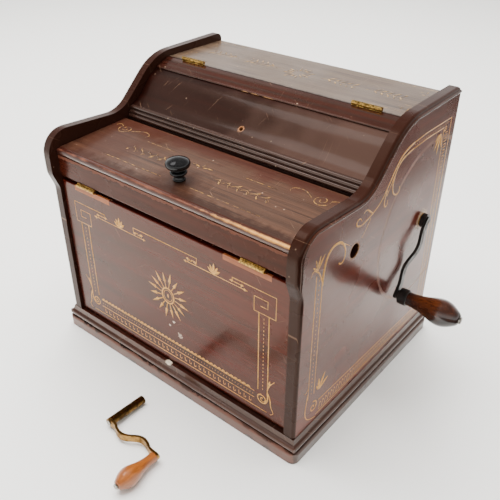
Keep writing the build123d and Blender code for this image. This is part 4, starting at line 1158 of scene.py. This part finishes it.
# --- Case, door, lid, flap, cranks, works ---
@dataclass
class CaseLooks(Looks):
    """Finishes of the fixed case."""

    crank_axis: Point = (98.7, 201.5)
    ring_radius: float = 103.0
    face_x: float = 192.5

    def dress(self) -> None:
        """Dresses the side panels, plinth, boards and rail."""
        ring = RubbedRing(self.crank_axis, self.ring_radius, 3.2, "#99796a")
        hub = WearAndReflectionPatch((self.face_x, *self.crank_axis), (1.6, 12.5, 12.5), "#c4a98c", 0.35, 700.0)
        hole = WearAndReflectionPatch((self.face_x, -61.4, 235.0), (1.6, 9.6, 9.6), "#8b6038", 0.3, 900.0)
        side = dict(
            dark="#3b110a", light="#642311", along=Facing.Y, facing=Facing.X, rim_code="#27130d",
            rim_from=192.48, gloss=0.2, coat=0.2, specular=0.45, scratch=0.35, specks=0.25,
        )
        self.cover(
            VarnishedMahogany("mahogany_crank_side", wear_and_reflection_patches=(ring, hub, hole), **side),
            "side_panel_right",
        )
        self.cover(VarnishedMahogany("mahogany_far_side", **side), "side_panel_left")
        rim = VarnishedMahogany(
            "mahogany_dark_rim", dark="#160b08", light="#3a1c12", along=Facing.Y, facing=Facing.X,
            coat=0.4, specular=0.35,
        )
        self.cover(rim, "side_beads")
        chip = WearAndReflectionPatch((-4.0, -152.5, 31.0), (5.5, 3.2, 3.5), "#e0cdb4", 0.2, 500.0)
        # band is a painted reflection: a pale pinkish strip along the foot of the plinth's front,
        # in place of the floor that it mirrors.
        band = WearAndReflectionPatch((0.0, -161.1, 9.0), (0, 3.0, 7.0), "#6b4438", 0.9, 60.0, 0.6)
        for node, grain, face, wear_and_reflection_patches in (
            ("plinth_front", Facing.X, Facing.Y, (chip, band)),
            ("plinth_rear", Facing.X, Facing.Y, ()),
            ("plinth_sides", Facing.Y, Facing.X, ()),
        ):
            finish = VarnishedMahogany(
                "mahogany_" + node, dark="#1d0d09", light="#3e1e15", along=grain, facing=face,
                haze=0.25, scratch=0.7, wear_and_reflection_patches=wear_and_reflection_patches,
            )
            self.cover(finish, node)
        rail_edge = WearAndReflectionPatch((0.0, -149.6, 265.0), (0, 3.0, 2.6), "#6f4030", 0.7, 120.0, 0.7)
        self.cover(
            VarnishedMahogany(
                "mahogany_front_rail", dark="#240c07", light="#42180d", coat=0.0, specular=0.2,
                wear_and_reflection_patches=(rail_edge,),
            ),
            "front_rail",
        )
        board_edge = WearAndReflectionPatch((0.0, 45.5, 343.3), (0, 2.2, 2.2), "#1a0d09", 0.4, 200.0)
        self.cover(
            VarnishedMahogany(
                "mahogany_worn_top", dark="#3a2b22", light="#5e4c3c", facing=Facing.Z, pore_mm=1.7,
                pore_show=0.9, run_mm=110.0, bump=0.3, gloss=0.34, haze=0.2, coat=0.35,
                coat_rough=0.25, scratch=0.5, wear_and_reflection_patches=(board_edge,),
            ),
            "top_board",
        )
        self.cover(
            VarnishedMahogany("mahogany_back", dark="#2b120c", light="#4a2117", gloss=0.35),
            "back_panel",
        )


@dataclass
class DoorLooks(Looks):
    """Finishes and ornament of the front door."""

    face_y: float = -149.5

    def dress(self) -> None:
        """Dresses the panel and its bare strips, and gilds it."""
        chips = (
            WearAndReflectionPatch((8.0, self.face_y, 100.0), (2.0, 0, 1.6), "#cbb8a6", 0.5, 600.0),
            WearAndReflectionPatch((0.0, self.face_y, 92.0), (1.6, 0, 1.4), "#cbb8a6", 0.5, 600.0),
            WearAndReflectionPatch((17.0, self.face_y, 84.0), (3.0, 0, 3.4), "#b7a493", 0.8, 500.0),
        )
        self.cover(
            VarnishedMahogany(
                "mahogany_door", dark="#2b0c06", light="#4c140a", gloss=0.16, haze=0.14,
                specular=0.38, coat=0.1, coat_rough=0.07, bump=0.1, wear_and_reflection_patches=chips,
            ),
            "door_panel",
        )
        self.cover(
            PlainWood("bare_cedar_patch", "#7c3d1f", "#a5602f", ring_mm=5.0, rough=0.55),
            "door_patch_strips",
        )
        DoorOrnament().build()


@dataclass
class LidLooks(Looks):
    """Finishes of the sloping lid, its nosing and its knob."""

    def dress(self) -> None:
        """Dresses the board, the nosing and the knob."""
        wear_and_reflection_patches = (
            WearAndReflectionPatch((-60.0, -46.0, 280.5), (330.0, 16.0, 0), "#36130d", 0.6, 40.0, 0.6, 0.9),
            WearAndReflectionPatch((40.0, -144.0, 274.0), (300.0, 9.0, 0), "#24120d", 0.6, 90.0, 0.8, 1.0),
            WearAndReflectionPatch((0.0, -123.0, 277.0), (26.0, 22.0, 0), "#2a140e", 0.5, 60.0, 0.75, 1.2),
            WearAndReflectionPatch((-150.0, -100.0, 277.0), (60.0, 60.0, 0), "#32170f", 0.6, 30.0, 0.7, 1.2),
        )
        self.cover(
            VarnishedMahogany(
                "mahogany_worn_lid", dark="#2c1c14", light="#4f3324", facing=Facing.Z, pore_mm=1.6,
                pore_show=0.95, run_mm=110.0, bump=0.3, gloss=0.32, haze=0.18, coat=0.3,
                coat_rough=0.22, scratch=0.5, wear_and_reflection_patches=wear_and_reflection_patches,
            ),
            "lid_board",
        )
        golden = WearAndReflectionPatch((178.0, -151.0, 275.5), (120.0, 3.6, 2.8), "#c98c42", 0.15, 120.0, 1.0, 0.5)
        pink = WearAndReflectionPatch((0.0, -151.4, 275.8), (330.0, 3.0, 2.2), "#83503c", 0.3, 60.0, 0.85, 0.6)
        self.cover(
            VarnishedMahogany(
                "mahogany_rubbed_nosing", dark="#2a110c", light="#4f2419", pore_show=0.5,
                gloss=0.28, wear_and_reflection_patches=(pink, golden),
            ),
            "lid_nosing",
        )
        self.cover(EbonisedWood("ebonised_knob"), "lid_knob")


@dataclass
class FlapLooks(Looks):
    """Finishes of the roll-top flap."""

    knob_hole: Place = (0.0, -13.5, 303.0)

    def dress(self) -> None:
        """Dresses the curved panel, the grooved rail and the reeded foot."""
        rim = WearAndReflectionPatch(self.knob_hole, (3.9, 3.9, 3.9), "#8a5a38", 0.3, 700.0)
        # Painted reflection: a paler band towards the flap's right end, painted into the varnish in
        # place of the light that the panel mirrors there.
        painted_reflection = WearAndReflectionPatch((150.0, 0.0, 0.0), (95.0, 0, 0), "#45312a", 0.5, 25.0, 0.6, 1.6)
        self.cover(
            VarnishedMahogany(
                "mahogany_roll_top", dark="#0e0302", light="#1e0704", facing=Facing.Z, gloss=0.3,
                haze=0.12, coat=0.25, coat_rough=0.12, specular=0.4, pore_show=0.25, specks=0.3,
                wear_and_reflection_patches=(painted_reflection, rim),
            ),
            "flap_panel",
        )
        chips = tuple(
            WearAndReflectionPatch((x, 22.6, 333.8), (reach, 1.3, 1.0), "#a97c52", 0.3, 500.0)
            for x, reach in ((-24.0, 5.0), (-9.0, 7.0), (12.0, 9.0))
        )
        self.cover(
            VarnishedMahogany(
                "mahogany_grooved_rail", dark="#1b0b07", light="#37170f", facing=Facing.Z, coat=0.5,
                wear_and_reflection_patches=chips,
            ),
            "flap_top_rail",
        )
        self.cover(
            VarnishedMahogany(
                "mahogany_reeding", dark="#1c110d", light="#3a241d", haze=0.1, coat=0.9
            ),
            "flap_foot_moulding",
        )


@dataclass
class CrankLooks(Looks):
    """Finishes of the iron crank and of the loose brass one."""

    def dress(self) -> None:
        """Dresses both cranks, piece by piece."""
        iron = OldMetal(
            "japanned_iron", "#141312", "#241c18", metallic=0.35, rough=0.28, tarnished=0.35
        )
        self.cover(iron, "crank_arm", "grip_ferrule")
        low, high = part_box("crank_grip")
        middle = (low + high) / 2 / MM
        self.cover(
            TurnedGrip(
                "dark_varnished_grip", light="#5b2d15",
                centre=(middle.x + 4, middle.y, middle.z + 9), reach=(22, 20, 14),
            ),
            "crank_grip",
        )
        steel = OldMetal(
            "worn_steel", "#b3aea6", "#6d645b", rough=0.3, tarnished=0.35, patch_mm=3.0
        )
        self.cover(steel, "grip_pin", "rewind_rivets")
        brass = OldMetal("handled_brass", "#a9834a", "#765628", rough=0.3, tarnished=0.45)
        self.cover(brass, "rewind_arm")
        dark = OldMetal("oxidised_brass", "#75592f", "#3d2b14", rough=0.24, tarnished=0.5)
        self.cover(dark, "rewind_sleeve")
        low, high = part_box("rewind_grip")
        middle = (low + high) / 2 / MM
        self.cover(
            TurnedGrip(
                "light_varnished_grip", "#5f2b0d", "#9c5820", (middle.x, middle.y, middle.z),
                (60, 60, 60), Facing.Y, 0.32,
            ),
            "rewind_grip",
        )


@dataclass
class WorksLooks(Looks):
    """Finishes of what is inside, and of the hinges."""

    supply_axis: Point = (-61.4, 235.0)

    def dress(self) -> None:
        """Dresses the works and builds the bellows skins."""
        self.cover(
            PlainWood("planed_pine"), "bottom_board", "middle_board", "wind_trunk", "wind_chest",
            "tracker_bar", "feeder_board_left", "feeder_board_right", "reservoir_board",
            "take_up_spool", "supply_spool",
        )
        self.cover(
            PlainWood("planed_maple", "#a07a4c", "#c8a572", Facing.Z, 3.0, 0.5, 0.1),
            "connecting_rod_left", "connecting_rod_right",
        )
        self.cover(
            OldMetal(
                "aged_hinge_brass", "#cfa65a", "#5e4522", rough=0.32, patch_mm=2.0, tarnished=0.4
            ),
            "hinge_fixed_leaves", "flap_hinge_leaves", "door_hinge_leaves", "crank_bush",
        )
        self.cover(
            OldMetal("cut_brass", "#c8a75c", "#80642f", rough=0.3, tarnished=0.35), "drive_pinion",
            "take_up_gear", "bearing_plates", "reeds",
        )
        self.cover(
            OldMetal("forged_iron", "#4b4846", "#2a2522", rough=0.42), "crankshaft",
            "feeder_bracket_left", "feeder_bracket_right",
        )
        self.cover(
            OldMetal("dull_steel", "#8f8b86", "#544d46", rough=0.35, tarnished=0.4),
            "bearing_screws", "hinge_pins", "lid_pivot_pins", "take_up_spindle", "supply_spindle",
            "reservoir_springs",
        )
        self.cover(PlainWood("stained_battens", "#1d0e09", "#341b12", rough=0.5), "inner_battens")
        self.cover(RollPaper("manila_roll", self.supply_axis), "music_roll")
        Bellows().build()


# --- Studio ---
@dataclass
class Studio:
    """The floor, the soft lights and the camera."""

    azimuth: float = 39.24
    elevation: float = 32.71
    roll: float = 0.30
    lens: float = 45.94
    place: Place = (0.4583, -0.5568, 0.5899)

    def build(self) -> None:
        """Sets up the whole studio."""
        self._floor()
        self._lights()
        self._camera()

    def _floor(self) -> None:
        """A wide pale sheet under everything, and a darker floor past its right edge."""
        sheet_edge, reach = 0.4, 6.0
        for name, low, high, finish in (
            ("studio_floor", -reach, sheet_edge, StudioFloor("matt_paper_sweep")),
            ("room_floor", sheet_edge, reach, StudioFloor("room_floor", "#40342e")),
        ):
            form = bmesh.new()
            bmesh.ops.create_grid(form, x_segments=2, y_segments=2, size=0.5)
            bmesh.ops.scale(form, vec=(high - low, 2 * reach, 1), verts=form.verts)
            bmesh.ops.translate(form, vec=((low + high) / 2, 0, 0), verts=form.verts)
            make_piece(form, name, finish)

    def _lights(self) -> None:
        """An even pale surround, with large soft boxes over it."""
        world = bpy.data.worlds.new("studio_surround")
        bpy.context.scene.world = world
        world.use_nodes = True
        tree = world.node_tree
        tree.nodes.clear()
        way = add_node(tree, "TexCoord").outputs["Generated"]
        axes = add_node(tree, "SeparateXYZ", {0: way})
        wall = add_node(
            tree, "MapRange", {0: axes.outputs[2], 1: 0.2, 2: 0.75, 3: 1.9, 4: 0.3},
            interpolation_type="SMOOTHSTEP",
        )
        back = add_node(tree, "Background", {"Color": colour("#f3f3f1"), "Strength": wall})
        add_node(tree, "OutputWorld", {"Surface": back})
        for name, spot, size, power, mirrored in (
            ("ceiling", (-0.5, 0.2, 2.6), 3.0, 275.0, False),
            ("window", (-1.6, 1.9, 1.7), 1.3, 14.0, False),
            ("lamp", (-1.1, -0.43, 2.46), 0.9, 9.0, True),
        ):
            data = bpy.data.lights.new(name, "AREA")
            data.shape = "SQUARE"
            data.size = size
            data.energy = power
            lamp = bpy.data.objects.new(name, data)
            lamp.location = spot
            aim = Vector((0, 0, 0.15)) - Vector(spot)
            lamp.rotation_euler = aim.to_track_quat("-Z", "Y").to_euler()
            lamp.visible_glossy = mirrored
            bpy.context.scene.collection.objects.link(lamp)

    def _camera(self) -> None:
        """The camera, at the height and angle of a person standing by the table."""
        a, e, r = (math.radians(v) for v in (self.azimuth, self.elevation, self.roll))
        forward = Vector((-math.sin(a) * math.cos(e), math.cos(a) * math.cos(e), -math.sin(e)))
        right = Vector((math.cos(a), math.sin(a), 0.0))
        up = right.cross(forward)
        right_r = right * math.cos(r) + up * math.sin(r)
        up_r = up * math.cos(r) - right * math.sin(r)
        data = bpy.data.cameras.new("camera")
        data.sensor_width = 36.0
        data.lens = self.lens
        data.clip_start = 0.01
        camera = bpy.data.objects.new("camera", data)
        turn = Matrix((right_r, up_r, -forward)).transposed().to_4x4()
        camera.matrix_world = Matrix.Translation(self.place) @ turn
        bpy.context.scene.collection.objects.link(camera)
        bpy.context.scene.camera = camera


def main() -> None:
    """Builds the looks in order."""
    logging.basicConfig(level=logging.INFO, format="%(message)s")
    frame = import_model()
    Studio().build()
    CaseLooks(frame).dress()
    DoorLooks(frame).dress()
    LidLooks(frame).dress()
    FlapLooks(frame).dress()
    CrankLooks(frame).dress()
    WorksLooks(frame).dress()
    for side in (1, -1):
        SideOrnament().build(side)
    TopOrnament().build()


if __name__ == "__main__":
    main()
